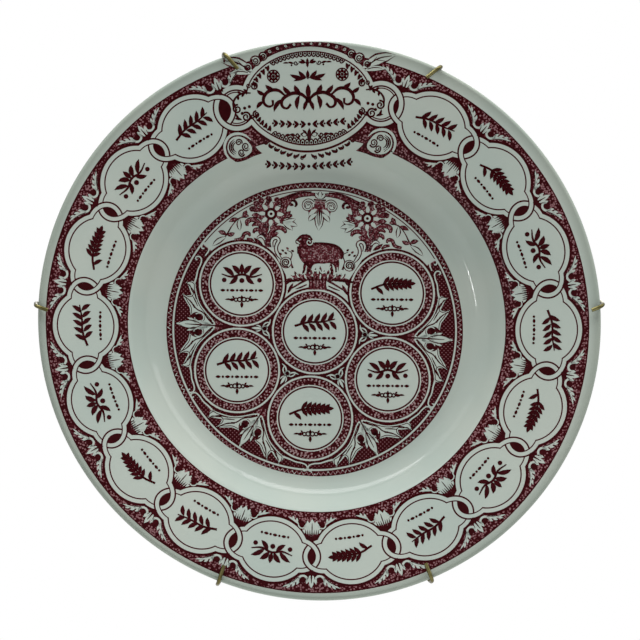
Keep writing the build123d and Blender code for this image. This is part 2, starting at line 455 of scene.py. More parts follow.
def stippled_ink(finish):
    """A dark fill that shows some light through fine specks."""
    return 0.97 - stipple(finish, pitch=1.0, share=0.55, size=0.40)


def half_tone(finish):
    """A middle tone of fine dots."""
    return 0.62 - stipple(finish, pitch=0.8, share=0.45, size=0.42)


# %% [markdown]
# ## The rim's print
# Sixteen cartouches hang together as a chain, each with a round body and two small lobes, and a wide head
# cartouche closes the chain at the top. At every link two straps pass over and under each other round a dark
# lens. The print was pasted on by hand, so it is a little off the plate's centre and its links aren't quite
# evenly spaced: one slow wave round the rim describes that.

# %% Where the rim's print lies
RIM_CENTRE = (-1.0, -1.3)
RIM_INNER = 87.5
RIM_OUTER = 125.5
CHAIN_RADIUS = 107.4
CARTOUCHES = 16
HEAD_TURN = -2.4
LINK_FIRST = 21.34
LINK_PITCH = 19.83
LINK_WAVE = 1.68
LINK_WAVE_TURN = 69.6
BODY = (16.9, 15.2)
BODY_DROP = 0.3
LOBE = (10.0, 8.1)
LOBE_REACH = 12.5
STRAP = 2.0
STRAP_LINE = 0.65
OUTLINE = 1.0
OUTER_LINE = 0.5
INNER_LINE = 0.4
SECOND_LINE = 0.45
SECOND_LINE_INSET = 1.3
ROOT_REACH = 7.2
ROOT_SIZE = 3.0
HEAD_RADIUS = 105.4
HEAD_HALF_WIDTH = 31.2
HEAD_HALF_HEIGHT = 23.1
HEAD_LOBE = (33.6, -4.0)
HEAD_LOBE_RADIUS = 10.4


def link_turn(link):
    """The angle of a link, in degrees clockwise from the top, from the head's right link on."""
    even = LINK_FIRST + LINK_PITCH * link
    turn = even
    for _ in range(6):
        turn = even + LINK_WAVE * sin(radians(turn - LINK_WAVE_TURN))
    return turn


print("links at", [round(link_turn(link), 1) for link in range(CARTOUCHES + 1)])

# %% The rim's pattern of ink


def oval_distance(u, v, halves):
    """About how far outside an oval's edge a place is, from its middle and its half width and height."""
    across, upright = u / halves[0], v / halves[1]
    steepness = length(across / halves[0], upright / halves[1])
    return (across * across + upright * upright - 1) / (steepness * 2).math("MAXIMUM", 0.01)


def cartouche_distance(radius, degrees_round):
    """How far outside a cartouche's edge a place is, so many degrees round from its middle."""
    turn = degrees_round * (pi / 180)
    u = abs(radius * turn.math("SINE"))
    v = radius * turn.math("COSINE") - CHAIN_RADIUS
    return oval_distance(u, v + BODY_DROP, BODY).math("MINIMUM", oval_distance(u - LOBE_REACH, v, LOBE))


def head_distances(a, b):
    """How far outside the edges of the head cartouche's body and lobes a place is."""
    turn = radians(HEAD_TURN)
    u = abs(a * cos(turn) - b * sin(turn))
    v = a * sin(turn) + b * cos(turn) - HEAD_RADIUS
    body = oval_distance(u, v, (HEAD_HALF_WIDTH, HEAD_HALF_HEIGHT))
    lobe = length(u - HEAD_LOBE[0], v - HEAD_LOBE[1]) - HEAD_LOBE_RADIUS
    return body, lobe


def zigzag(along, across, pitch, depth, width):
    """A zigzag line that runs along a border, as deep as the border."""
    tooth = along.math("PINGPONG", pitch / 2) * (2 * depth / pitch)
    return band(across - tooth, 0, width * sqrt(1 + (2 * depth / pitch) ** 2))


def rim_print(finish):
    """The density of the rim's ink: a speckled ground, the chain of cartouches, and the head."""
    a, b = finish.on_face(RIM_CENTRE)
    radius = length(a, b)
    turn = a.math("ARCTAN2", b) * (180 / pi)
    turn = (turn - HEAD_TURN).math("FLOORED_MODULO", 360.0) + HEAD_TURN
    wave = LINK_WAVE * ((turn - LINK_WAVE_TURN) * (pi / 180)).math("SINE")
    cells = (turn - wave - LINK_FIRST) / LINK_PITCH
    cell = cells.math("FLOOR").math("MAXIMUM", 0.0).math("MINIMUM", CARTOUCHES - 1.0)
    past_middle = (cells - cell - 0.5) * LINK_PITCH
    side = past_middle.math("SIGN")
    own = cartouche_distance(radius, past_middle)
    at_head = rising(abs(cell + side - (CARTOUCHES - 1) / 2), CARTOUCHES / 2, 0.1)
    head_body, head_lobe = head_distances(a, b)
    head = head_body.math("MINIMUM", head_lobe)
    other = over(cartouche_distance(radius, past_middle - side * LINK_PITCH), head, at_head)

    outward = radius - CHAIN_RADIUS
    from_link = (LINK_PITCH / 2 - abs(past_middle)) * (pi / 180) * radius
    ground = 0.98 - stipple(finish, pitch=1.05, share=0.74, size=0.45)
    roots = 1 - rising(length(from_link, abs(outward) - ROOT_REACH), ROOT_SIZE, 1.0)
    outline = 1 - rising(own.math("MINIMUM", other), OUTLINE, 0.15)
    ground = over(ground, 1.0, roots.math("MAXIMUM", outline))
    edges = band(radius, RIM_OUTER - OUTER_LINE / 2, OUTER_LINE)
    edges = edges + band(radius, RIM_INNER + INNER_LINE / 2, INNER_LINE)
    ink = over(ground, 1.0, edges) * band(radius, (RIM_INNER + RIM_OUTER) / 2, RIM_OUTER - RIM_INNER)

    ink = over(ink, 1.0, 1 - rising(head, 0.8, 0.15))
    own_inside = 1 - rising(own, -STRAP)
    other_inside = 1 - rising(other, -STRAP)
    ink = over(ink, 0.0, own_inside.math("MAXIMUM", other_inside))
    ink = over(ink, 1.0, own_inside * other_inside)
    own_on_top = rising(past_middle * outward, 0.0, 0.01)
    lower = over(own, other, own_on_top)
    upper = over(other, own, own_on_top)
    for edge in (lower, upper):
        covered = band(edge, -STRAP / 2, STRAP + 2 * STRAP_LINE)
        lines = rising(abs(edge + STRAP / 2), STRAP / 2)
        ink = over(ink, lines, covered)
    second_line = band(head_lobe, -STRAP - SECOND_LINE_INSET, SECOND_LINE)
    second_line = second_line * rising(head_body, 0.4) * rising(own, 0.5)
    return over(ink, 1.0, second_line)


# %% [markdown]
# ## The well's print
# In the well a maroon border with a zigzag rings six round panels, five round one, and the sixth place at the
# top is an open field for a lamb. The ring of five is a hexagon's corners with one left out, so the shader
# folds the angle round the middle panel into one sixth and draws every panel with the same distances.

# %% The well's pattern of ink
WELL_CENTRE = (-1.25, -2.25)
WELL_RADIUS = 69.0
BORDER = 2.75
BORDER_GAP = 0.9
FIELD_LINE = 0.4
HATCH_PITCH = 1.35
HATCH_LINE = 0.42
DARK_MIDDLE = 42.0
DARK_FADE = 3.0
PANELS_CENTRE = (-1.3, -3.5)
PANEL_SPACING = 40.5
PANEL_TURN = 27.0
FAR_OFF = 99.0
PANEL_RADIUS = 20.1
DISC_RADIUS = 14.3
DISC_LINE = 0.7
SPECKLE_START = 15.55
BEAD_RING = 18.1
BEAD_CIRCLE = 17.9
BEAD_STEP = 0.85
PANEL_LINE = 19.0
PANEL_GAP = 19.5
FIELD_TURN = 3.4
FIELD_HALF_ANGLE = 56.6


def well_print(finish):
    """The density of the well's ink: a hatched ground, the border, and the panels."""
    a, b = finish.on_face(WELL_CENTRE)
    radius = length(a, b)
    from_top = a.math("ARCTAN2", b) * (180 / pi)

    pa, pb = finish.on_face(PANELS_CENTRE)
    reach = length(pa, pb)
    sixths = (pb.math("ARCTAN2", pa) * (180 / pi) - PANEL_TURN) / 60
    sixth = sixths.math("ROUND")
    turn = (sixths - sixth) * (pi / 3)
    out = reach * turn.math("COSINE") - PANEL_SPACING
    along = reach * turn.math("SINE")
    # The sixth at the top has no panel, so its distances are made too far to show
    outer_panel = length(out, along) + FAR_OFF * band(sixth, 1, 1)
    panel = outer_panel.math("MINIMUM", reach)
    is_outer = rising(reach - outer_panel, 0.0)
    round_panel = over(pb.math("ARCTAN2", pa), along.math("ARCTAN2", out), is_outer)

    hatch = 0.0
    for across in (a + b, a - b):
        lines = (across * sqrt(0.5)).math("PINGPONG", HATCH_PITCH / 2)
        hatch = (1 - rising(lines, HATCH_LINE, 0.15)).math("MAXIMUM", hatch)
    ground = 0.25 + 0.73 * hatch
    ground = over(ground, 1.0, 1 - rising(reach, DARK_MIDDLE, DARK_FADE))
    in_field = rising(abs(from_top - FIELD_TURN), FIELD_HALF_ANGLE, 0.4)
    ink = ground * in_field

    edge = WELL_RADIUS - radius
    teeth = zigzag(from_top * (pi / 180 * WELL_RADIUS), edge - 0.6, pitch=2.3, depth=1.6, width=0.4)
    border = 0.97 - stipple(finish, pitch=0.9, share=0.32, size=0.38) - 0.68 * teeth
    ink = over(ink, border, 1 - rising(edge, BORDER))
    ink = over(ink, 0.0, band(edge, BORDER + BORDER_GAP / 2, BORDER_GAP))
    ink = over(ink, 1.0, band(edge, BORDER + BORDER_GAP + FIELD_LINE / 2, FIELD_LINE))
    ink = ink * rising(edge, 0.0)

    beads = (round_panel * BEAD_CIRCLE).math("PINGPONG", BEAD_STEP)
    dots = 1 - rising(length(beads, panel - BEAD_RING), 0.36, 0.14)
    dark_dots = 1 - rising(length(beads - BEAD_STEP, panel - BEAD_RING), 0.45, 0.14)
    speckle = 0.98 - stipple(finish, pitch=1.1, share=0.82, size=0.47)
    ringed = over(speckle, 0.12, dots)
    ringed = over(ringed, 1.0, dark_dots)
    panel_ink = over(ringed, 1.0, band(panel, PANEL_LINE, 0.35))
    panel_ink = over(panel_ink, 0.0, band(panel, PANEL_GAP, BORDER_GAP))
    panel_ink = over(panel_ink, 1.0, rising(panel, PANEL_RADIUS))
    panel_ink = over(0.0, panel_ink, rising(panel, SPECKLE_START))
    panel_ink = over(panel_ink, 1.0, band(panel, DISC_RADIUS + 0.3, DISC_LINE))
    return over(ink, panel_ink, 1 - rising(panel, PANEL_RADIUS + 0.8))


# %% [markdown]
# ## Laying the finishes on the plate
# Each face of the turned mesh takes a finish by where it lies: the rim's print, the well's print, or plain
# glaze on the wall and the back. The patterns read the piece's own coordinates, so nothing is unwrapped.

# %% Finishes by place
PRINTED_WELL = 70.5
PRINTED_RIM = 79.0
PLATE_FINISHES = {"plain_glaze": None, "printed_well": well_print, "printed_rim": rim_print}
for finish_name, ink_pattern in PLATE_FINISHES.items():
    plate.data.materials.append(glazed(finish_name, ink_pattern))
for face in plate.data.polygons:
    spot = face.center - plate_point(0, 0, 0)
    radius = dist((0, 0), (spot.x, spot.z)) / MM
    if face.normal.y < -0.2:
        face.material_index = 1 if radius < PRINTED_WELL else 2 if radius > PRINTED_RIM else 0
print("faces by finish:", [sum(f.material_index == n for f in plate.data.polygons) for n in range(3)])

# %% [markdown]
# ## Pens for the drawn print
# Leaves, scrolls and figures follow no formula, so they are drawn. A pen stroke is a Bezier curve with a
# flat nib as its bevel object, and each point's radius is the stroke's width there. A motif has four layers:
# dark fills, half tones, bare glaze, and lines on top. Turned into meshes, the strokes are copied to their
# places, dropped onto the plate with a Shrinkwrap, and given a little thickness, so that each layer becomes
# one thin closed film whose back lies in the glaze.

# %% Pens
TAPER = (0.12, 0.72, 1.0, 0.74, 0.06)
TAPER_SHARES = (0.0, 0.22, 0.48, 0.75, 1.0)
LAYERS = ("dark", "tone", "glaze", "ink")
drawings = []


def link_object(data):
    made = bpy.data.objects.new(data.name, data)
    bpy.context.scene.collection.objects.link(made)
    return made


def choose(pieces, active):
    """Selects these pieces and no others, and makes one of them the active one."""
    bpy.ops.object.select_all(action="DESELECT")
    for piece in pieces:
        piece.select_set(True)
    bpy.context.view_layer.objects.active = active


def spokes(middle, inner, outer, first=0.0, count=8):
    """The inner and outer ends of spokes round a middle, the first at so many degrees."""
    for n in range(count):
        way = radians(first + 360 / count * n)
        yield [(middle[0] + reach * cos(way), middle[1] + reach * sin(way)) for reach in (inner, outer)]


nib_line = bpy.data.curves.new("nib", "CURVE")
nib_ends = nib_line.splines.new("POLY")
nib_ends.points.add(1)
nib_ends.points[0].co = (-0.5 * MM, 0, 0, 1)
nib_ends.points[1].co = (0.5 * MM, 0, 0, 1)
nib = link_object(nib_line)


class Pen:
    """Draws flat strokes and shapes in millimetres. A mirrored pen draws each one on both sides, and a bent
    pen lays its drawing round a circle of that radius."""

    def __init__(self, name, mirrored, bend):
        self.name = name
        self.mirrored = mirrored
        self.bend = bend
        self.curves = []
        self.strokes = None

    def new_curve(self, fill):
        curve = bpy.data.curves.new(self.name, "CURVE")
        curve.dimensions = "2D"
        curve.fill_mode = fill
        curve.resolution_u = 4
        self.curves.append(curve)
        return curve

    def sides(self, points):
        """Both sides for a mirrored pen, unless the points lie on the middle line."""
        return (1, -1) if self.mirrored and any(u for u, v in points) else (1,)

    def placed(self, u, v):
        if not self.bend:
            return u, v
        return (self.bend + v) * sin(u / self.bend), (self.bend + v) * cos(u / self.bend) - self.bend

    def add(self, curve, side, points, widths, closed, corners=()):
        spline = curve.splines.new("BEZIER")
        spline.bezier_points.add(len(points) - 1)
        for order, (knot, place, width) in enumerate(zip(spline.bezier_points, points, widths)):
            u, v = self.placed(side * place[0], place[1])
            knot.co = (u * MM, v * MM, 0)
            bend = "VECTOR" if order in corners else "AUTO"
            knot.handle_left_type = bend
            knot.handle_right_type = bend
            knot.radius = width
        spline.use_cyclic_u = closed

    def stroke(self, points, widths, closed=False):
        """A smooth line through points, with one width or a width at each point."""
        if isinstance(widths, (int, float)):
            widths = [widths] * len(points)
        if not self.strokes:
            self.strokes = self.new_curve("NONE")
            self.strokes.bevel_mode = "OBJECT"
            self.strokes.bevel_object = nib
        for side in self.sides(points):
            self.add(self.strokes, side, points, widths, closed)

    def shape(self, points, corners=()):
        """A filled area with a smooth outline, apart from the corners that are named by their order."""
        for side in self.sides(points):
            self.add(self.new_curve("BOTH"), side, points, [1] * len(points), True, corners)

    def leaf(self, base, tip, width, bow=0.0):
        """A pointed leaf from base to tip, bent to its left by bow."""
        along = (tip[0] - base[0], tip[1] - base[1])
        points = []
        for share in TAPER_SHARES:
            bend = bow * 4 * share * (1 - share) / dist((0, 0), along)
            u = base[0] + share * along[0] - bend * along[1]
            v = base[1] + share * along[1] + bend * along[0]
            points.append((u, v))
        self.stroke(points, [width * part for part in TAPER])

    def dot(self, at, radius):
        shares = (-0.99, -0.87, -0.5, 0.0, 0.5, 0.87, 0.99)
        points = [(at[0] + radius * share, at[1]) for share in shares]
        self.stroke(points, [2 * radius * sqrt(1 - share**2) for share in shares])

    def ring(self, at, radius, width):
        turns = [n * pi / 4 for n in range(8)]
        self.stroke([(at[0] + radius * cos(t), at[1] + radius * sin(t)) for t in turns], width, closed=True)

    def curl(self, at, radius, start, turns, width):
        """A spiral that winds in from so many degrees, counter-clockwise for positive turns."""
        steps = ceil(8 * abs(turns))
        points = []
        for step in range(steps + 1):
            angle = radians(start + 360 * turns * step / steps)
            reach = radius * (1 - 0.8 * step / steps)
            points.append((at[0] + reach * cos(angle), at[1] + reach * sin(angle)))
        self.stroke(points, [width * (1 - 0.35 * step / steps) for step in range(steps)] + [1.6 * width])

    def finish_drawing(self):
        """Makes all that was drawn one flat mesh that stands upright and faces forwards."""
        drawn = [link_object(curve) for curve in self.curves]
        choose(drawn, drawn[-1])
        bpy.ops.object.convert(target="MESH")
        bpy.ops.object.join()
        drawing = bpy.context.object
        drawing.data.transform(Matrix.Rotation(pi / 2, 4, "X"))
        return drawing


class Drawing:
    """One motif with a pen for each layer, and the places that it is copied to. A fine one is cut small, to
    follow the plate's lip and wall."""

    def __init__(self, name, places, mirrored=False, bend=None, fine=False):
        self.places = places
        self.fine = fine
        self.pens = [Pen(f"{name}_{layer}", mirrored, bend) for layer in LAYERS]
        self.dark, self.tone, self.glaze, self.ink = self.pens
        drawings.append(self)

    def edged_leaf(self, base, tip, width, bow=0.0, fill="glaze", edge=1.1):
        """A leaf with a dark edge round a light or half-tone middle."""
        self.dark.leaf(base, tip, width + edge, bow)
        getattr(self, fill).leaf(base, tip, width - 0.1, bow)

    def edged_stroke(self, points, width, fill="tone", edge=1.1):
        """A band with dark edges that tapers to its ends."""
        middle = [1.0] * (len(points) - 2)
        self.dark.stroke(points, [(width + edge) * part for part in (0.7, *middle, 0.5)])
        getattr(self, fill).stroke(points, [width * part for part in (0.6, *middle, 0.3)])


# %% Places and films
DRAWING_DISTANCE = 60.0
FILM_LIFTS = {"dark": 0.02, "tone": 0.035, "glaze": 0.05, "ink": 0.065}
FILM_DEPTH = 0.05
FILM_EDGE = 1.8


def on_rim(turn, radius):
    """The place for a drawing on the rim: its middle at a radius of the print, and its top outwards."""
    centre = Matrix.Translation(plate_point(*RIM_CENTRE, DRAWING_DISTANCE))
    return centre @ Matrix.Rotation(radians(turn), 4, "Y") @ Matrix.Translation((0, 0, radius * MM))


def in_well(a, b, turn=0.0):
    """The place for a drawing on the plate's face, a to the right and b above its axis, turned clockwise."""
    return Matrix.Translation(plate_point(a, b, DRAWING_DISTANCE)) @ Matrix.Rotation(radians(turn), 4, "Y")


def apply_all(piece):
    choose([piece], piece)
    for modifier in list(piece.modifiers):
        bpy.ops.object.modifier_apply(modifier=modifier.name)


def refine(piece):
    """Halves the long edges of a flat drawing until it can follow the plate's curves."""
    bpy.ops.object.mode_set(mode="EDIT")
    bpy.ops.mesh.select_mode(type="EDGE")
    bpy.ops.object.mode_set(mode="OBJECT")
    for _ in range(5):
        corners = piece.data.vertices
        long_edges = 0
        for edge in piece.data.edges:
            start, end = (corners[n].co for n in edge.vertices)
            edge.select = (end - start).length > FILM_EDGE * MM
            long_edges += edge.select
        if not long_edges:
            break
        bpy.ops.object.mode_set(mode="EDIT")
        bpy.ops.mesh.subdivide(number_cuts=1)
        bpy.ops.object.mode_set(mode="OBJECT")


def film(name, layer, finish):
    """Copies one layer of every drawing to its places and lays them all on the plate as one thin film."""
    copies = []
    for drawing in drawings:
        pen = getattr(drawing, layer)
        if not pen.curves:
            continue
        master = pen.finish_drawing()
        if drawing.fine:
            refine(master)
        for place in drawing.places:
            copy = link_object(master.data.copy())
            copy.data.transform(place)
            copies.append(copy)
        bpy.data.objects.remove(master)
    choose(copies, copies[0])
    bpy.ops.object.join()
    piece = bpy.context.object
    piece.name = name
    piece.data.materials.clear()
    piece.data.materials.append(finish)
    drop = piece.modifiers.new("drop", "SHRINKWRAP")
    drop.wrap_method = "PROJECT"
    drop.target = plate
    drop.use_project_y = True
    apply_all(piece)
    for face in piece.data.polygons:
        face.select = face.normal.y > 0
    bpy.ops.object.mode_set(mode="EDIT")
    bpy.ops.mesh.select_mode(type="FACE")
    bpy.ops.mesh.flip_normals()
    bpy.ops.object.mode_set(mode="OBJECT")
    lift = FILM_LIFTS[layer]
    piece.data.transform(Matrix.Translation((0, -lift * MM, 0)))
    body = piece.modifiers.new("body", "SOLIDIFY")
    body.thickness = (lift + FILM_DEPTH) * MM
    body.offset = -1
    gloss = piece.modifiers.new("gloss", "DATA_TRANSFER")
    gloss.object = plate
    gloss.use_loop_data = True
    gloss.data_types_loops = {"CUSTOM_NORMAL"}
    gloss.loop_mapping = "POLYINTERP_NEAREST"
    apply_all(piece)
    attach(piece, "dish")
    print(name, "has", len(piece.data.polygons), "faces, box", [round(v / MM, 1) for v in piece.dimensions])


# %% [markdown]
# ## Leaves at the links
# Outside each link a small three-part leaf stands between two dark eyes, with feathery leaves along the
# cartouches, and inside it a hand-shaped leaf hangs between two berries. Both are the same on their left and
# right, so a mirrored pen draws one side, once, for all the links, bent round the chain. The head's own two
# links have shells in place of the inner leaves.

# %% Link leaves in glaze and ink
links = [on_rim(link_turn(link), CHAIN_RADIUS) for link in range(CARTOUCHES + 1)]
outer = Drawing("outer_leaf", links, mirrored=True, bend=CHAIN_RADIUS)
glaze, ink = outer.glaze, outer.ink
glaze.leaf((0.0, 9.6), (0.0, 15.8), 2.3)
glaze.leaf((0.4, 10.0), (1.9, 13.9), 1.7, -0.3)
glaze.stroke(
    [(1.8, 12.9), (1.85, 11.3), (2.6, 10.4), (3.7, 10.2), (4.8, 10.8), (5.4, 12.2), (5.1, 13.6)],
    [0.5, 0.9, 1.0, 0.9, 1.0, 0.9, 0.3],
)
feather = [(5.0, 11.0), (6.2, 12.4), (7.8, 13.8), (9.6, 15.1), (11.4, 16.2)]
glaze.stroke(feather, [1.0, 1.3, 1.2, 0.9, 0.15])
glaze.leaf((5.7, 11.8), (6.0, 14.6), 1.2, 0.3)
glaze.leaf((7.0, 13.0), (7.9, 15.6), 1.2, 0.3)
glaze.leaf((8.6, 14.2), (9.9, 16.5), 1.0, 0.3)
ink.dot((3.55, 12.1), 1.35)
ink.stroke([(0, 7.4), (0, 9.6), (0, 13.6)], [1.6, 0.9, 0.25])
ink.stroke([(1.0, 8.6), (1.1, 9.6), (1.5, 11.8)], [1.0, 0.6, 0.2])
ink.stroke([(5.4, 11.0), (7.4, 13.0), (10.0, 15.0)], [0.3, 0.4, 0.2])

inner = Drawing("inner_leaf", links[1:-1], mirrored=True, bend=CHAIN_RADIUS)
tone, glaze, ink = inner.tone, inner.glaze, inner.ink
glaze.leaf((0.0, -9.0), (0.0, -16.4), 3.4)
glaze.leaf((0.4, -9.4), (2.6, -15.6), 2.5, 0.2)
glaze.leaf((0.6, -9.4), (4.0, -13.4), 2.3, 0.2)
glaze.leaf((0.8, -9.6), (4.9, -11.4), 1.7, 0.2)
berry_arch = [(3.3, -14.2), (3.7, -12.7), (5.3, -12.0), (6.9, -12.8), (7.3, -14.2)]
glaze.stroke(berry_arch, [0.3, 0.5, 0.45, 0.5, 0.3])
glaze.stroke([(7.2, -13.9), (8.8, -15.0), (10.8, -15.9), (13.0, -16.6)], [0.5, 1.0, 0.9, 0.15])
glaze.leaf((7.9, -14.4), (8.4, -16.6), 1.0)
glaze.leaf((9.7, -15.4), (10.6, -17.3), 0.9)
tone.leaf((0.0, -7.4), (0.0, -11.6), 5.4)
ink.dot((5.3, -14.0), 1.45)
for n in range(4):
    points = [(0.9 * n, -6.8 - 0.35 * n), (1.0 * n, -8.4 - 0.2 * n), (1.15 * n, -11.2 - 0.1 * n)]
    ink.stroke(points, [1.2, 0.7, 0.15])
ink.stroke([(0, -8.4), (0, -10.4), (0, -12.6), (0, -14.6)], [0.7, 0.45, 0.5, 0.2])

# %% [markdown]
# ## Sprigs in the cartouches and panels
# Each cartouche and each panel holds a leafy sprig over a row of small lozenges, as plain stock ornament.
# Three kinds of sprig take turns, and a small fleuron closes each panel.

# %% Three sprigs and a fleuron


def olive_sprig(pen, v):
    pen.stroke([(-9.4, v - 1.6), (-3.0, v + 0.2), (3.0, v + 0.4), (9.4, v + 1.8)], [1.1, 1.0, 0.9, 0.5])
    for n in range(5):
        u = -7.0 + 3.2 * n
        pen.leaf((u, v + 0.11 * u), (u + 2.9, v + 4.6 + 0.1 * u), 2.1, -0.4)
        pen.leaf((u + 1.0, v + 0.11 * u), (u + 4.2, v - 3.8 + 0.1 * u), 2.1, 0.4)


def wheat_sprig(pen, v):
    pen.stroke([(-9.8, v - 2.4), (-4.0, v - 0.2), (2.0, v + 0.2), (6.4, v + 0.3)], [1.0, 1.0, 0.9, 0.6])
    for n in range(6):
        u = -4.2 + 2.1 * n
        pen.leaf((u, v + 0.3), (u + 2.8, v + 3.8 - 0.25 * n), 1.9, -0.3)
        pen.leaf((u, v + 0.1), (u + 2.8, v - 3.4 + 0.25 * n), 1.9, 0.3)
    pen.leaf((7.4, v + 0.3), (11.0, v + 0.5), 1.9)
    pen.leaf((-7.8, v - 1.6), (-4.2, v - 5.0), 1.9, 0.4)


def berry_sprig(pen, v):
    stem = [(-9.4, v + 0.4), (-4.6, v - 0.9), (0.0, v + 0.3), (4.6, v - 0.9), (9.4, v + 0.4)]
    pen.stroke(stem, [0.5, 1.0, 1.1, 1.0, 0.5])
    for side in (-1, 1):
        pen.leaf((1.2 * side, v + 0.2), (4.6 * side, v + 4.4), 2.5, 0.5 * side)
        pen.leaf((3.6 * side, v - 0.7), (8.8 * side, v + 3.6), 2.3, 0.5 * side)
        pen.leaf((2.0 * side, v - 0.2), (5.8 * side, v - 4.2), 2.2, -0.5 * side)
        pen.dot((8.2 * side, v - 2.4), 1.1)
    pen.leaf((0.0, v + 0.4), (0.0, v + 5.4), 2.3)
    pen.dot((0.0, v - 2.6), 1.2)


def small_row(pen, v, half):
    """A row of small lozenges and dots under a sprig."""
    for n in range(-floor(half / 2.2), floor(half / 2.2) + 1):
        if n % 2:
            pen.dot((2.2 * n, v), 0.6)
        else:
            pen.leaf((2.2 * n - 1.2, v), (2.2 * n + 1.2, v), 1.4)


cartouches = [on_rim((link_turn(n) + link_turn(n + 1)) / 2, CHAIN_RADIUS) for n in range(CARTOUCHES)]
corners = [corner for _, corner in spokes(PANELS_CENTRE, 0, PANEL_SPACING, PANEL_TURN, 6)]
panels = [in_well(*middle) for middle in (PANELS_CENTRE, corners[0], *corners[2:])]
for kind, draw_sprig in enumerate((olive_sprig, wheat_sprig, berry_sprig)):
    sprig = Drawing(draw_sprig.__name__, cartouches[kind::3], bend=CHAIN_RADIUS)
    draw_sprig(sprig.ink, 1.0)
    small_row(sprig.ink, -7.0, 8.0)
    panel = Drawing("panel_" + draw_sprig.__name__, panels[kind::3])
    draw_sprig(panel.ink, 4.2)
    small_row(panel.ink, -3.0, 8.8)

fleuron = Drawing("fleuron", panels, mirrored=True)
fleuron.ink.ring((1.0, -7.3), 0.95, 0.65)
fleuron.ink.ring((2.7, -7.4), 0.75, 0.6)
fleuron.ink.leaf((0.0, -8.0), (0.0, -5.2), 1.3)
fleuron.ink.leaf((0.0, -11.2), (0.0, -8.2), 1.5)
fleuron.ink.leaf((3.2, -7.2), (5.8, -7.6), 1.5)
fleuron.ink.leaf((4.8, -7.4), (7.8, -7.4), 0.9, 0.2)
fleuron.ink.leaf((3.4, -6.8), (4.4, -5.6), 0.9)

# %% [markdown]
# ## The head cartouche
# The wide cartouche at the top is edged with scallops, corner scrolls, rosettes and small fleurons. Vines
# fill its lobes, and scrolling foliage its middle. Outside it a crest of scrolls runs along the plate's
# edge, two leaves close the crest, a garland and a row of leaves hang below, and a shell lies at each lower
# corner.

# %% Ornament of the head cartouche
head = Drawing("head", [on_rim(HEAD_TURN, HEAD_RADIUS)], mirrored=True)


def round_head(turn, outward=0.0):
    """A place so many degrees round the head from its top, and so far outside its strap's edge."""
    turn = radians(turn)
    return (HEAD_HALF_WIDTH + outward) * sin(turn), (HEAD_HALF_HEIGHT + outward) * cos(turn)


ink = head.ink
SCALLOPS = 9
SCALLOP_STEP = 4.15
INNER_EDGE = -STRAP - 0.5
for end, way in ((0, 1), (180, -1)):
    for n in range(SCALLOPS):
        start, middle, stop = (end + way * SCALLOP_STEP * (n + part) for part in (0, 0.5, 1))
        arch = [round_head(start, INNER_EDGE), round_head(start + 0.3 * way, INNER_EDGE - 1.1)]
        arch += [round_head(middle, INNER_EDGE - 1.9)]
        arch += [round_head(stop - 0.3 * way, INNER_EDGE - 1.1), round_head(stop, INNER_EDGE)]
        ink.stroke(arch, 0.6)
        ink.dot(round_head(middle, INNER_EDGE - 0.6), 0.5)
for start, stop, curl_turns in ((40, 72, 1.5), (140, 113, -1.5)):
    step = (stop - start) / 5
    for n in range(5):
        turn = start + step * n
        tip = round_head(turn + 0.9 * step, INNER_EDGE - 3.3)
        ink.leaf(round_head(turn, INNER_EDGE - 0.9), tip, 1.6, 0.3 * curl_turns)
        ink.dot(round_head(turn + 0.7 * step, INNER_EDGE - 1.0), 0.55)
    ink.curl(round_head(stop, INNER_EDGE - 2.2), 1.7, 90, curl_turns, 0.8)
    ink.ring(round_head(stop * 0.97 + 3.9, INNER_EDGE + 0.2), 0.8, 0.5)
ROSETTE = (16.0, 10.0)
ink.ring(ROSETTE, 2.75, 0.6)
for base, tip in spokes(ROSETTE, 0.7, 2.7):
    ink.leaf(base, tip, 1.4)
ink.dot(ROSETTE, 0.7)
for v, bold in ((15.8, 1.2), (-17.0, 1.7)):
    ink.leaf((0.8, v), (4.2, v + 0.5), 1.2 * bold)
    ink.leaf((1.0, v + 0.4), (3.2, v + 1.4 * bold), 0.7 * bold)
    ink.curl((5.4, v), 1.1, 180, 1.2, 0.45 * bold)
    ink.leaf((6.4, v - 0.2), (9.0, v + 0.5), 0.9 * bold)
    ink.leaf((8.6, v), (11.4, v), 0.7 * bold, 0.2)
    ink.leaf((0.0, v - 1.8 * bold), (0.0, v + 1.8 * bold), 1.3 * bold)
    ink.dot((7.4, v - 1.0), 0.45)
ink.curl((33.2, -4.6), 2.1, 100, -1.5, 0.9)
ink.curl((29.2, -8.2), 2.2, 60, 1.5, 0.9)
vine = [(26.8, 2.6), (30.2, 2.6), (33.2, 1.2), (35.0, -1.6), (35.0, -4.6)]
ink.stroke(vine, [0.6, 1.0, 0.9, 1.0, 0.6])
ink.leaf((28.4, 2.7), (30.2, 4.4), 1.2, 0.2)
ink.leaf((31.2, 2.3), (33.4, 3.2), 1.2, 0.2)
ink.leaf((29.6, 2.4), (31.0, 0.8), 1.2, 0.2)
ink.leaf((32.4, 1.4), (32.6, -0.6), 1.2, 0.2)
for place in ((27.6, -3.6), (29.8, -4.2), (31.0, -6.6)):
    ink.dot(place, 0.75)
ink.leaf((31.2, -9.6), (34.6, -9.0), 1.3, 0.3)
ink.leaf((33.8, -6.6), (32.2, -9.4), 1.2, 0.3)

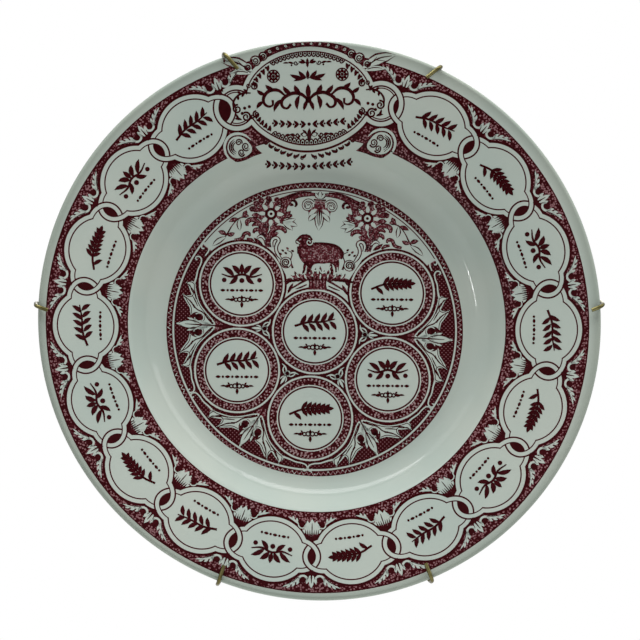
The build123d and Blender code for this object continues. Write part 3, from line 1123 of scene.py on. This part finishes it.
# %% Foliage in the middle of the head
first_scroll = [(0.0, -1.2), (4.0, 1.8), (9.6, 1.2), (12.6, -2.4), (10.4, -4.8), (8.2, -2.9)]
ink.stroke(first_scroll, [1.0, 1.7, 1.6, 1.5, 1.0, 1.3])
second_scroll = [(10.4, 0.8), (15.0, 3.8), (20.2, 1.6), (20.4, -2.6), (17.0, -3.4), (16.6, -0.8)]
ink.stroke(second_scroll, [0.8, 1.6, 1.6, 1.3, 0.9, 1.2])
for base, tip, width, bow in (
    ((3.4, 1.6), (6.2, 5.8), 2.4, -0.6),
    ((7.6, 1.7), (11.6, 5.4), 2.2, -0.6),
    ((12.2, -0.6), (16.2, -6.2), 2.1, 0.8),
    ((15.6, 3.6), (19.8, 6.2), 2.1, -0.5),
    ((20.0, 1.8), (23.8, 4.0), 1.9, -0.5),
    ((20.8, -1.4), (24.2, -4.6), 1.9, 0.5),
    ((4.0, 1.0), (5.2, -5.4), 2.2, 0.8),
    ((0.2, -1.0), (2.3, -6.0), 1.9, 0.3),
    ((0.6, 8.8), (4.2, 12.2), 1.9, -0.4),
    ((2.6, 9.2), (8.2, 10.6), 1.9, -0.5),
    ((1.2, 8.6), (6.6, 7.6), 1.5, 0.3),
    ((0.0, -1.0), (0.0, 6.2), 2.5, 0.0),
    ((0.0, 8.2), (0.0, 12.4), 1.7, 0.0),
):
    ink.leaf(base, tip, width, bow)
ink.dot((0.0, -1.2), 1.4)


def leaf_row(pen, v, rise, half):
    """A row of leaf pairs and dots that rises towards its ends."""
    pen.dot((0.0, v), 0.8)
    for n in range(floor(half / 3.2)):
        u = 1.5 + 3.2 * n
        level = v + rise * u * u
        pen.leaf((u, level), (u + 2.3, level + 1.8), 1.4, -0.3)
        pen.leaf((u, level), (u + 2.3, level - 1.8), 1.4, 0.3)
        pen.dot((u + 2.5, level), 0.5)


leaf_row(ink, -12.2, 0.004, 17.6)

# %% Crest, garland and shells round the head
crest = Drawing("round_head", [on_rim(HEAD_TURN, HEAD_RADIUS)], mirrored=True, fine=True)
dark, glaze, ink = crest.dark, crest.glaze, crest.ink
leaf_row(ink, -29.9, 0.004, 20.9)
crest_line = [round_head(turn, out) for turn, out in ((0, 1.3), (12, 1.45), (24, 1.8), (34, 2.0), (42, 1.8))]
dark.stroke(crest_line, [2.0, 2.2, 2.8, 3.0, 2.0])
for n in range(5):
    glaze.curl(round_head(3.5 + 7.0 * n, 1.5 + 0.15 * n), 0.55 + 0.06 * n, 200, 1.2, 0.35)
for u, v, size in ((20.6, 19.2, 1.5), (24.2, 17.2, 1.9), (27.8, 14.4, 1.7)):
    dark.dot((u, v), size + 0.7)
    glaze.dot((u, v), size)
    ink.curl((u, v), size - 0.2, 30, -1.6, 0.75)
crest.edged_leaf((25.4, 12.4), (41.2, 17.8), 4.4, 1.2, edge=1.6)
crest.edged_leaf((26.4, 11.4), (36.4, 11.8), 2.4, 0.6, edge=1.4)
ink.stroke([(27.4, 13.2), (33.0, 16.6), (39.2, 17.6)], [0.5, 0.7, 0.3])
ink.stroke([(30.0, 15.0), (32.4, 17.4)], [0.4, 0.2])
ink.stroke([(32.0, 16.0), (36.0, 15.4)], [0.4, 0.2])
ink.stroke([(27.8, 12.0), (31.2, 12.6), (34.6, 12.1)], [0.4, 0.5, 0.2])
for n in range(7):
    turn = 178 - 5.6 * n
    ink.leaf(round_head(turn, 1.4), round_head(turn - 4.6, 2.9 - 0.1 * n), 1.3, -0.6)
    ink.curl(round_head(turn - 3.0, 3.2 - 0.2 * n), 0.85, 90, -1.2, 0.55)
SHELL = [
    (21.8, -24.2), (24.6, -22.2), (27.2, -18.8), (30.0, -16.6), (33.6, -15.8), (37.0, -16.8),
    (39.2, -19.6), (39.6, -23.2), (38.0, -26.4), (34.8, -28.0), (30.6, -27.4), (26.2, -25.6),
]
dark.shape(SHELL, corners=(0,))
glaze.stroke(SHELL[2:10], [0.3, 1.0, 1.2, 1.2, 1.2, 1.1, 0.9, 0.3])
SHELL_FACE = [
    (26.8, -22.8), (28.6, -19.6), (31.0, -17.6), (34.0, -17.1), (36.5, -18.1), (38.0, -20.4),
    (38.2, -23.1), (36.9, -25.4), (34.3, -26.5), (30.8, -26.0), (28.2, -24.8),
]
glaze.shape(SHELL_FACE)
for u, v, size, turns in ((29.8, -21.6, 1.9, 1.7), (33.0, -19.8, 1.6, -1.6), (31.8, -24.2, 1.6, 1.6)):
    ink.curl((u, v), size, 200, turns, 0.7)
RIBS_MIDDLE = (33.4, -21.9)
for reach in (4.0, 3.2, 2.4):
    angles = [radians(part) for part in (66, 20, -25, -72)]
    rib = [(RIBS_MIDDLE[0] + reach * cos(angle), RIBS_MIDDLE[1] + reach * sin(angle)) for angle in angles]
    ink.stroke(rib, [0.2, 0.7, 0.7, 0.2])

# %% [markdown]
# ## Leaves round the panels
# Where two panels meet the well's border, an acanthus blade stands between two half leaves, each with a dark
# eye and three points, and a thin tendril runs on along the panel to the next group.

# %% Acanthus groups, and knots between the panels
group_turns = (177, 237, 297, 357)
acanthus = Drawing("acanthus", [in_well(*PANELS_CENTRE, 90 - turn) for turn in group_turns], mirrored=True)
tone, glaze, ink = acanthus.tone, acanthus.glaze, acanthus.ink
HALF_LEAF = [
    (0.3, 46.6), (2.4, 47.4), (4.3, 49.2), (6.6, 51.4), (10.0, 54.0), (13.4, 55.4), (17.2, 56.4),
    (19.8, 57.2), (19.5, 61.0), (18.0, 59.8), (16.0, 59.0), (13.9, 58.0), (13.4, 58.8), (14.0, 62.4),
    (12.2, 61.6), (10.0, 60.2), (7.6, 58.6), (4.4, 58.0), (5.7, 56.1), (5.7, 54.0), (4.9, 52.3),
    (3.6, 51.4), (2.2, 51.6), (1.2, 52.6), (0.4, 50.0),
]
glaze.shape(HALF_LEAF, corners=(8, 11, 13, 16, 17))
CONTOUR_INSET = 0.65
contour = []
for before, (u, v), after in zip(HALF_LEAF, HALF_LEAF[1:18], HALF_LEAF[2:]):
    way = (after[0] - before[0], after[1] - before[1])
    inset = CONTOUR_INSET / dist((0, 0), way)
    contour.append((u - inset * way[1], v + inset * way[0]))
ink.stroke(contour, 0.38)
glaze.leaf((0.0, 48.0), (0.0, 64.4), 5.0)
glaze.leaf((0.6, 54.6), (3.0, 59.4), 1.4, -0.2)
tendril = [(19.0, 57.2), (22.0, 56.4), (25.6, 55.8), (28.8, 54.6)]
tendril += [(31.0, 54.6), (31.9, 56.0), (31.0, 57.2), (30.2, 56.4)]
glaze.stroke(tendril, [0.9, 0.7, 0.6, 0.6, 0.6, 0.6, 0.5, 0.6])
tone.stroke([(0.0, 43.0), (0.0, 46.0), (0.0, 50.0)], [2.0, 4.6, 0.4])
ink.stroke([(0, 42.0), (0, 48.0), (0, 54.0), (0, 60.5)], [1.2, 0.6, 0.7, 0.25])
ink.stroke([(0.3, 52.6), (1.7, 56.6), (1.7, 60.0), (0.3, 63.4)], [0.3, 0.45, 0.45, 0.25])
main_vein = [(0.8, 47.4), (3.0, 49.8), (5.8, 52.4), (7.4, 55.6), (9.4, 57.0)]
ink.stroke(main_vein, [1.0, 0.8, 0.6, 0.6, 0.3])
ink.stroke([(7.6, 56.4), (10.2, 58.0), (13.2, 61.6)], [0.4, 0.7, 0.25])
ink.stroke([(8.6, 55.0), (11.0, 56.2), (13.6, 57.8)], [0.3, 0.6, 0.25])
ink.stroke([(11.8, 55.8), (15.4, 57.2), (18.9, 60.2)], [0.4, 0.7, 0.25])
ink.dot((3.4, 54.2), 1.5)
ink.stroke([(3.4, 54.2), (4.0, 55.8), (3.6, 57.2)], [2.6, 1.6, 0.6])
glaze.ring((3.4, 54.0), 2.1, 0.45)

knot = Drawing("knot", acanthus.places, mirrored=True)
glaze, ink = knot.glaze, knot.ink
glaze.ring((0.0, 23.4), 1.2, 0.5)
glaze.leaf((0.6, 24.4), (3.0, 20.6), 0.6, 1.0)
glaze.leaf((0.0, 24.6), (0.0, 29.4), 1.2)
glaze.leaf((0.4, 25.0), (1.4, 27.6), 0.6, -0.3)
glaze.stroke([(1.0, 22.6), (2.4, 21.4), (4.6, 20.9)], [0.6, 0.7, 0.2])
ink.dot((0.0, 23.4), 0.7)

# %% [markdown]
# ## The open field
# The field at the top of the well is the same on both sides of a line that leans a little with the panels: a
# palmette hangs from the border, and from it scrolls run round a flower on each side, down into fronds that
# spread over the panels. A lamb stands on a mound in the middle, drawn by itself.

# %% Palmette, scrolls, flowers and fronds
FIELD_LEAN = 2.2
field = Drawing("field", [in_well(*PANELS_CENTRE, FIELD_LEAN)], mirrored=True)
dark, tone, glaze, ink = field.pens
dark.stroke([(0.0, 61.9), (1.4, 61.9), (2.9, 61.9)], 0.8)
dark.stroke([(0.0, 59.4), (1.2, 59.4), (2.6, 59.4)], 1.2)
tone.stroke([(0.0, 60.7), (1.2, 60.7), (2.4, 60.7)], 1.3)
field.edged_leaf((0.0, 62.4), (0.0, 66.2), 1.6)
field.edged_leaf((0.4, 62.6), (2.2, 65.2), 1.2, -0.2)
dark.curl((5.4, 59.0), 2.9, 150, -1.5, 1.5)
glaze.curl((5.4, 59.0), 2.9, 150, -1.5, 0.6)
tone.stroke([(0.0, 58.6), (2.6, 57.2), (5.4, 56.2)], [3.0, 2.6, 0.6])
field.edged_leaf((0.0, 58.0), (0.0, 47.4), 3.6)
field.edged_leaf((1.2, 57.4), (4.9, 54.2), 2.0, 0.4)
field.edged_leaf((1.0, 55.4), (4.9, 51.6), 1.8, 0.5)
ink.stroke([(0, 58.2), (0, 54.0), (0, 49.6)], [1.4, 0.6, 0.3])
ink.stroke([(0.8, 57.0), (1.0, 53.6), (0.5, 50.4)], [0.6, 0.4, 0.2])
c_scroll = [(2.2, 64.4), (6.2, 64.3), (9.6, 63.6), (12.8, 62.1), (15.1, 59.6)]
c_scroll += [(16.3, 56.8), (15.9, 54.6), (14.3, 53.7), (12.6, 54.2)]
field.edged_stroke(c_scroll, 1.1)
field.edged_stroke([(14.2, 61.2), (12.8, 61.2), (11.4, 60.6), (10.9, 59.2), (11.6, 58.1)], 0.7, "dark", 0.6)
dark.leaf((14.6, 59.4), (12.0, 58.8), 1.6)
upper_vine = [(4.0, 65.4), (9.0, 65.0), (13.4, 63.4), (17.6, 61.4), (21.0, 60.8)]
dark.stroke(upper_vine, [0.8, 1.0, 1.6, 1.8, 0.4])
FLOWER = (22.5, 54.3)
for base, tip, width, bow in (
    ((20.4, 57.6), (14.6, 61.8), 2.2, 0.5),
    ((24.6, 58.6), (23.4, 62.6), 2.0, 0.3),
    ((26.2, 57.6), (29.6, 60.2), 2.0, -0.3),
    ((27.6, 55.2), (32.8, 56.4), 2.0, 0.4),
    ((27.4, 52.6), (31.6, 53.2), 1.6, 0.3),
    ((18.2, 52.4), (13.4, 56.2), 1.8, 0.5),
    ((24.2, 47.6), (27.8, 50.2), 1.8, 0.3),
    ((22.4, 46.6), (19.6, 50.2), 1.8, -0.3),
    ((24.6, 44.0), (28.4, 45.6), 1.4, 0.3),
    ((22.2, 43.6), (18.6, 45.4), 1.5, -0.4),
):
    field.edged_leaf(base, tip, width, bow, "tone")
for base, tip in spokes(FLOWER, 2.0, 6.4, first=22.5):
    tone.leaf(base, tip, 4.0)
    dark.leaf(base, tip, 1.8)
for base, tip in spokes(FLOWER, 2.2, 6.0):
    field.edged_leaf(base, tip, 2.0)
ink.ring(FLOWER, 2.2, 1.3)
glaze.dot(FLOWER, 1.6)
ink.dot(FLOWER, 0.7)
berries = [(29.6, 58.8, 0.9), (27.3, 60.2, 0.9), (24.0, 61.4, 0.8)]
berries += [(20.0, 61.0, 0.8), (31.4, 56.2, 0.8), (18.6, 58.8, 0.9)]
for u, v, size in berries:
    tone.dot((u, v), size + 0.6)
    ink.ring((u, v), size, 0.35)
for base, tip, width, bow in (
    ((16.8, 51.0), (10.9, 52.5), 1.6, 0.4),
    ((16.8, 50.6), (9.9, 49.2), 2.0, -0.3),
    ((16.8, 50.2), (12.1, 47.0), 1.7, -0.4),
):
    field.edged_leaf(base, tip, width, bow)
dark.leaf((19.6, 51.4), (14.2, 50.4), 2.4)
stem = [(22.6, 38.6), (23.1, 42.4), (22.1, 45.6), (19.9, 47.6), (17.5, 47.9), (15.9, 46.9), (15.3, 45.5)]
field.edged_stroke(stem, 1.1)
shoot = [(21.4, 38.6), (21.6, 41.8), (20.0, 43.1), (18.5, 42.1)]
shoot += [(19.3, 40.0), (19.5, 37.6), (18.4, 35.2), (16.9, 33.2)]
field.edged_stroke(shoot, 0.9, "glaze")
frond = [(24.0, 39.6), (25.3, 44.3), (26.6, 47.6), (28.8, 50.4), (31.3, 51.2), (33.4, 50.0), (33.4, 48.0)]
field.edged_stroke(frond, 1.3)
field.edged_stroke([(25.5, 43.6), (27.6, 46.5), (29.7, 46.3), (30.4, 44.8)], 0.9)
field.edged_stroke([(27.3, 48.6), (29.5, 49.2), (31.2, 48.2)], 0.8)
field.edged_stroke([(24.8, 42.0), (26.8, 43.6), (28.6, 42.6)], 0.8, "glaze")
dark.leaf((25.6, 39.4), (30.2, 42.8), 1.9, -0.2)
tone.stroke([(23.4, 38.8), (24.4, 43.6), (25.2, 48.0), (24.0, 50.0)], [2.4, 2.0, 2.0, 0.6])
dark.leaf((24.4, 44.6), (23.4, 49.4), 1.4)
for base, tip, width, bow in (
    ((37.1, 51.2), (36.6, 45.7), 1.5, 0.3),
    ((37.5, 51.2), (42.0, 49.6), 1.1, 0.3),
    ((35.9, 52.7), (33.9, 55.4), 1.2, 0.3),
    ((36.2, 52.4), (32.6, 52.6), 1.1, -0.3),
    ((42.7, 43.4), (39.0, 44.6), 1.1, 0.3),
    ((43.1, 42.4), (49.2, 37.8), 1.7, 0.4),
    ((42.9, 43.4), (46.8, 44.9), 1.2, 0.3),
):
    field.edged_leaf(base, tip, width, bow, "tone" if width < 1.3 else "glaze")
twig = [(33.6, 52.2), (37.0, 51.6), (40.2, 48.2), (42.6, 43.8), (44.6, 41.0)]
dark.stroke(twig, [0.3, 0.7, 0.5, 0.8, 0.4])
field.edged_stroke([(39.0, 41.2), (35.6, 42.2), (34.4, 44.4), (32.6, 44.6), (31.9, 43.2)], 0.7)
field.edged_stroke([(33.4, 42.0), (31.2, 41.6), (29.6, 40.2)], 0.6)

# %% Tendrils that close the dark ground
ends = Drawing("ends", [in_well(0, 0)])
for tendril in (
    [(53.4, 25.6), (52.4, 28.2), (52.8, 30.2), (54.1, 30.9), (55.5, 30.2), (55.4, 28.6), (54.4, 28.5)],
    [(-52.3, 31.6), (-50.6, 34.4), (-50.8, 36.6), (-52.2, 37.6), (-53.8, 36.8), (-53.8, 35.2), (-52.8, 35.0)],
):
    ends.glaze.stroke(tendril, [0.5, 0.7, 0.7, 0.7, 0.6, 0.6, 0.7])

# %% The lamb on its mound
lamb = Drawing("lamb", [in_well(0, 0)])
dark, tone, glaze, ink = lamb.pens
LAMB_OUTLINE = [
    (-10.4, 38.9), (-9.4, 40.3), (-8.2, 41.6), (-6.3, 42.2), (-4.3, 41.7), (-2.7, 40.2), (-1.7, 38.3),
    (1.0, 38.2), (4.5, 37.9), (8.0, 37.1), (10.3, 35.9), (11.5, 34.0), (11.9, 31.8), (11.1, 30.5),
    (10.3, 30.9), (10.2, 28.6), (9.6, 24.6), (8.2, 24.4), (8.0, 26.6), (6.4, 28.5), (2.6, 28.4),
    (-1.2, 28.2), (-2.5, 27.0), (-3.1, 24.4), (-4.5, 24.3), (-4.7, 26.8), (-6.2, 28.2), (-8.0, 30.4),
    (-9.1, 33.0), (-9.3, 36.0), (-8.7, 37.3), (-9.9, 37.6),
]
dark.shape(LAMB_OUTLINE, corners=(16, 17, 23, 24))
WOOL = [
    (-3.4, 35.6), (-1.0, 36.9), (3.0, 36.9), (7.2, 36.0), (9.6, 34.2), (10.6, 32.0), (9.4, 29.9),
    (6.4, 29.4), (2.0, 29.3), (-2.0, 29.4), (-5.4, 30.0), (-7.4, 32.4), (-7.6, 35.6), (-5.8, 35.2),
]
tone.shape(WOOL)
for u, v in ((-5.6, 32.0), (-3.0, 33.8), (-0.6, 31.4), (1.8, 34.4), (3.6, 31.6), (5.8, 34.0), (7.8, 31.6)):
    ink.curl((u, v), 0.9, 200, 1.1, 0.35)
dark.leaf((-5.8, 29.4), (-6.4, 24.0), 1.5)
dark.leaf((6.2, 29.0), (6.4, 24.4), 1.5)
glaze.curl((-3.9, 38.5), 1.9, 95, -1.3, 0.55)
glaze.stroke([(-9.9, 38.8), (-9.0, 38.2), (-8.2, 37.6)], [0.7, 0.7, 0.2])
glaze.stroke([(-8.6, 39.4), (-7.6, 40.0)], [0.4, 0.2])
ink.stroke([(-9.2, 33.0), (-9.4, 36.4)], [0.6, 0.4])
back = [(-1.4, 38.2), (4.5, 37.8), (9.0, 36.6), (11.4, 34.0), (11.5, 31.2)]
ink.stroke(back, [0.6, 1.0, 1.1, 1.2, 1.2])
ink.stroke([(-5.6, 42.0), (-4.0, 41.2), (-2.4, 39.6)], [0.8, 1.2, 0.6])
for n in range(16):
    u = -11.6 + 1.55 * n
    lean = 0.28 * (u + 0.5)
    bow = 0.3 if u < 0 else -0.3
    dark.leaf((u, 21.4), (u + lean, 25.6 - 0.035 * u * u + 0.9 * (n % 3)), 1.5, bow)
    ink.leaf((u + 0.6, 20.4), (u + 0.6 + 1.6 * lean, 22.8 - 0.02 * u * u), 1.2, bow)
mound = [(-13.0, 22.2), (-6.0, 22.0), (0.0, 22.2), (6.0, 21.8), (13.0, 21.4)]
tone.stroke(mound, [0.6, 3.2, 3.0, 3.2, 0.6])
for n in range(8):
    u = -11.0 + 3.0 * n
    glaze.leaf((u, 21.0), (u + 0.25 * u, 23.8), 0.8, 0.2 if u < 0 else -0.2)
lit_grass = [(-2.2, 27.4), (-1.6, 25.2), (0.6, 25.6), (2.0, 24.2), (4.4, 25.2), (6.2, 27.2)]
glaze.stroke(lit_grass, [0.4, 0.6, 0.7, 0.6, 0.7, 0.4])
glaze.stroke([(-5.4, 26.6), (-5.6, 24.4), (-7.2, 23.2)], [0.4, 0.6, 0.3])
glaze.stroke([(9.2, 26.8), (9.4, 24.6), (11.0, 23.4)], [0.4, 0.6, 0.3])
tone.stroke([(0.0, 16.2), (0.0, 18.6), (0.0, 21.0)], [8.4, 8.0, 8.4])
for n in range(6):
    u = -4.0 + 1.6 * n
    ink.stroke([(u, 16.6), (-3.8 + 1.5 * n, 19.0), (u, 21.2)], [0.7, 0.45, 0.7])
for side, low in ((-1, 0.6), (1, 0.0)):
    for root, widths in (
        ([(4.6, 20.6), (8.4, 18.4), (11.0, 16.8), (14.0, 15.0)], [1.2, 0.9, 0.8, 0.4]),
        ([(5.0, 18.0), (8.0, 16.6), (10.4, 15.8)], [0.6, 0.8, 0.3]),
        ([(11.6, 25.6), (12.6, 29.2), (12.0, 32.6), (14.2, 34.0)], [1.0, 0.6, 0.5, 0.3]),
    ):
        dark.stroke([(u * side, v + low) for u, v in root], widths)
    dark.leaf((11.4 * side, 18.6 + low), (14.0 * side, 13.6 + low), 1.6)
    dark.leaf((12.6 * side, 20.4 + low), (15.2 * side, 17.6 + low), 1.4)
    spiral = (14.8 * side, 27.6 + 2 * low)
    dark.dot(spiral, 2.8)
    glaze.dot(spiral, 2.35)
    ink.curl(spiral, 2.0, -60, 1.9 * side, 0.75)
    for u, v in ((11.0, 33.6), (13.4, 34.8), (15.6, 33.8), (14.2, 32.6), (16.6, 32.2)):
        dark.leaf((u * side, v + low - 0.4), ((u + 1.3) * side, v + low + 0.5), 1.1)

# %% Films of the four layers
film("print_dark_fills", "dark", glazed("stippled_ink", stippled_ink))
film("print_half_tones", "tone", glazed("half_tone", half_tone))
film("print_lights", "glaze", plate.data.materials[0])
film("print_lines", "ink", glazed("drawn_ink", solid_ink))
bpy.data.objects.remove(nib)

# %% [markdown]
# ## Springs and wires
# Four like springs pull the hooks to the middle. One is wound here as a round wire along a curve: a hook, a
# coil and another hook, turned a quarter to where it lies each time. Each copy stretches between the ring in
# the middle and its own bent wire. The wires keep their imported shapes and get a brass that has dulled.

# %% One spring wound, and four placed
SPRING_WIRE = 0.9
HOOK_RADIUS = 2.6
COIL_RADIUS = 3.05
RING_HOOK = 9.85
HOOK_INSET = 12.95
WIRE_HOOK = recess - HOOK_INSET
COIL_INSET = 2.8
LEAD_INSET = 0.9
FIRST_ANGLE = 125.0
COIL_TURNS = 21 + 110 / 360
TURN_POINTS = 24
BRASS_BRIGHT = (0.128, 0.114, 0.047, 1)
BRASS_DULL = (0.05, 0.044, 0.016, 1)
STEEL_BRIGHT = (0.46, 0.43, 0.36, 1)
STEEL_DULL = (0.26, 0.23, 0.17, 1)
SCRATCH_SIZE = 0.25


def hook_points(middle, side, turns):
    """The round of a hook about a middle on the spring's axis, through these turns in degrees."""
    reach = side * HOOK_RADIUS
    return [(0, reach * cos(turn), middle + reach * sin(turn)) for turn in map(radians, turns)]


def coil_points():
    """The coil between the two hooks."""
    count = round(COIL_TURNS * TURN_POINTS)
    rise = WIRE_HOOK - RING_HOOK - 2 * COIL_INSET
    for n in range(count + 1):
        angle = radians(FIRST_ANGLE + 360 * COIL_TURNS * n / count)
        yield COIL_RADIUS * cos(angle), COIL_RADIUS * sin(angle), RING_HOOK + COIL_INSET + rise * n / count


path = hook_points(RING_HOOK, 1, range(-200, 1, 10)) + [(0, HOOK_RADIUS, RING_HOOK + LEAD_INSET)]
path += list(coil_points()) + [(0, -HOOK_RADIUS, WIRE_HOOK - LEAD_INSET)]
path += hook_points(WIRE_HOOK, -1, range(0, -201, -10))
winding = bpy.data.curves.new("spring", "CURVE")
winding.dimensions = "3D"
winding.bevel_depth = SPRING_WIRE / 2 * MM
winding.bevel_resolution = 2
winding.use_fill_caps = True
wire = winding.splines.new("POLY")
wire.points.add(len(path) - 1)
for knot, place in zip(wire.points, path):
    knot.co = (*(v * MM for v in place), 1)
master_spring = link_object(winding)
choose([master_spring], master_spring)
bpy.ops.object.convert(target="MESH")
bpy.ops.object.shade_smooth()


def metal(name, bright, dull, wear, smooth, rough):
    """A metal between bright and dull patches, which are about wear millimetres across."""
    finish = Finish(name)
    patches = rising(finish.noise(wear), 0.5, 0.25)
    colour = finish.mixed(bright, dull, patches)
    roughness = over(smooth, rough, patches) + 0.06 * finish.noise(SCRATCH_SIZE)
    finish.surface(base_color=colour, metallic=1.0, roughness=roughness)
    return finish.material


brass = metal("dulled_brass", BRASS_BRIGHT, BRASS_DULL, wear=5.0, smooth=0.22, rough=0.42)
spring_steel = metal("spring_steel", STEEL_BRIGHT, STEEL_DULL, wear=4.0, smooth=0.22, rough=0.42)
for node in ("upper_wire", "lower_wire", "left_wire", "right_wire", "hanging_bail", "centre_ring"):
    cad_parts[node].material_slots[0].material = brass
for side, turn in (("upper", 0), ("right", 90), ("lower", 180), ("left", 270)):
    low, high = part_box(side + "_spring")
    axis_y = (low.y + high.y) / 2
    place = Matrix.Translation((0, axis_y, AXIS_Z)) @ Matrix.Rotation(radians(turn), 4, "Y")
    spring = link_object(master_spring.data.copy())
    spring.name = side + "_wound_spring"
    spring.data.transform(place)
    spring.data.materials.append(spring_steel)
    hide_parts(side + "_spring")
    start = place @ Vector((0, 0, (RING_HOOK + COIL_INSET) * MM))
    end = place @ Vector((0, 0, (WIRE_HOOK - COIL_INSET) * MM))
    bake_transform(spring)
    print(spring.name, "box", [[round(v / MM, 2) for v in corner] for corner in (low, high)],
          [round(v / MM, 2) for v in spring.dimensions])
bpy.data.objects.remove(master_spring)
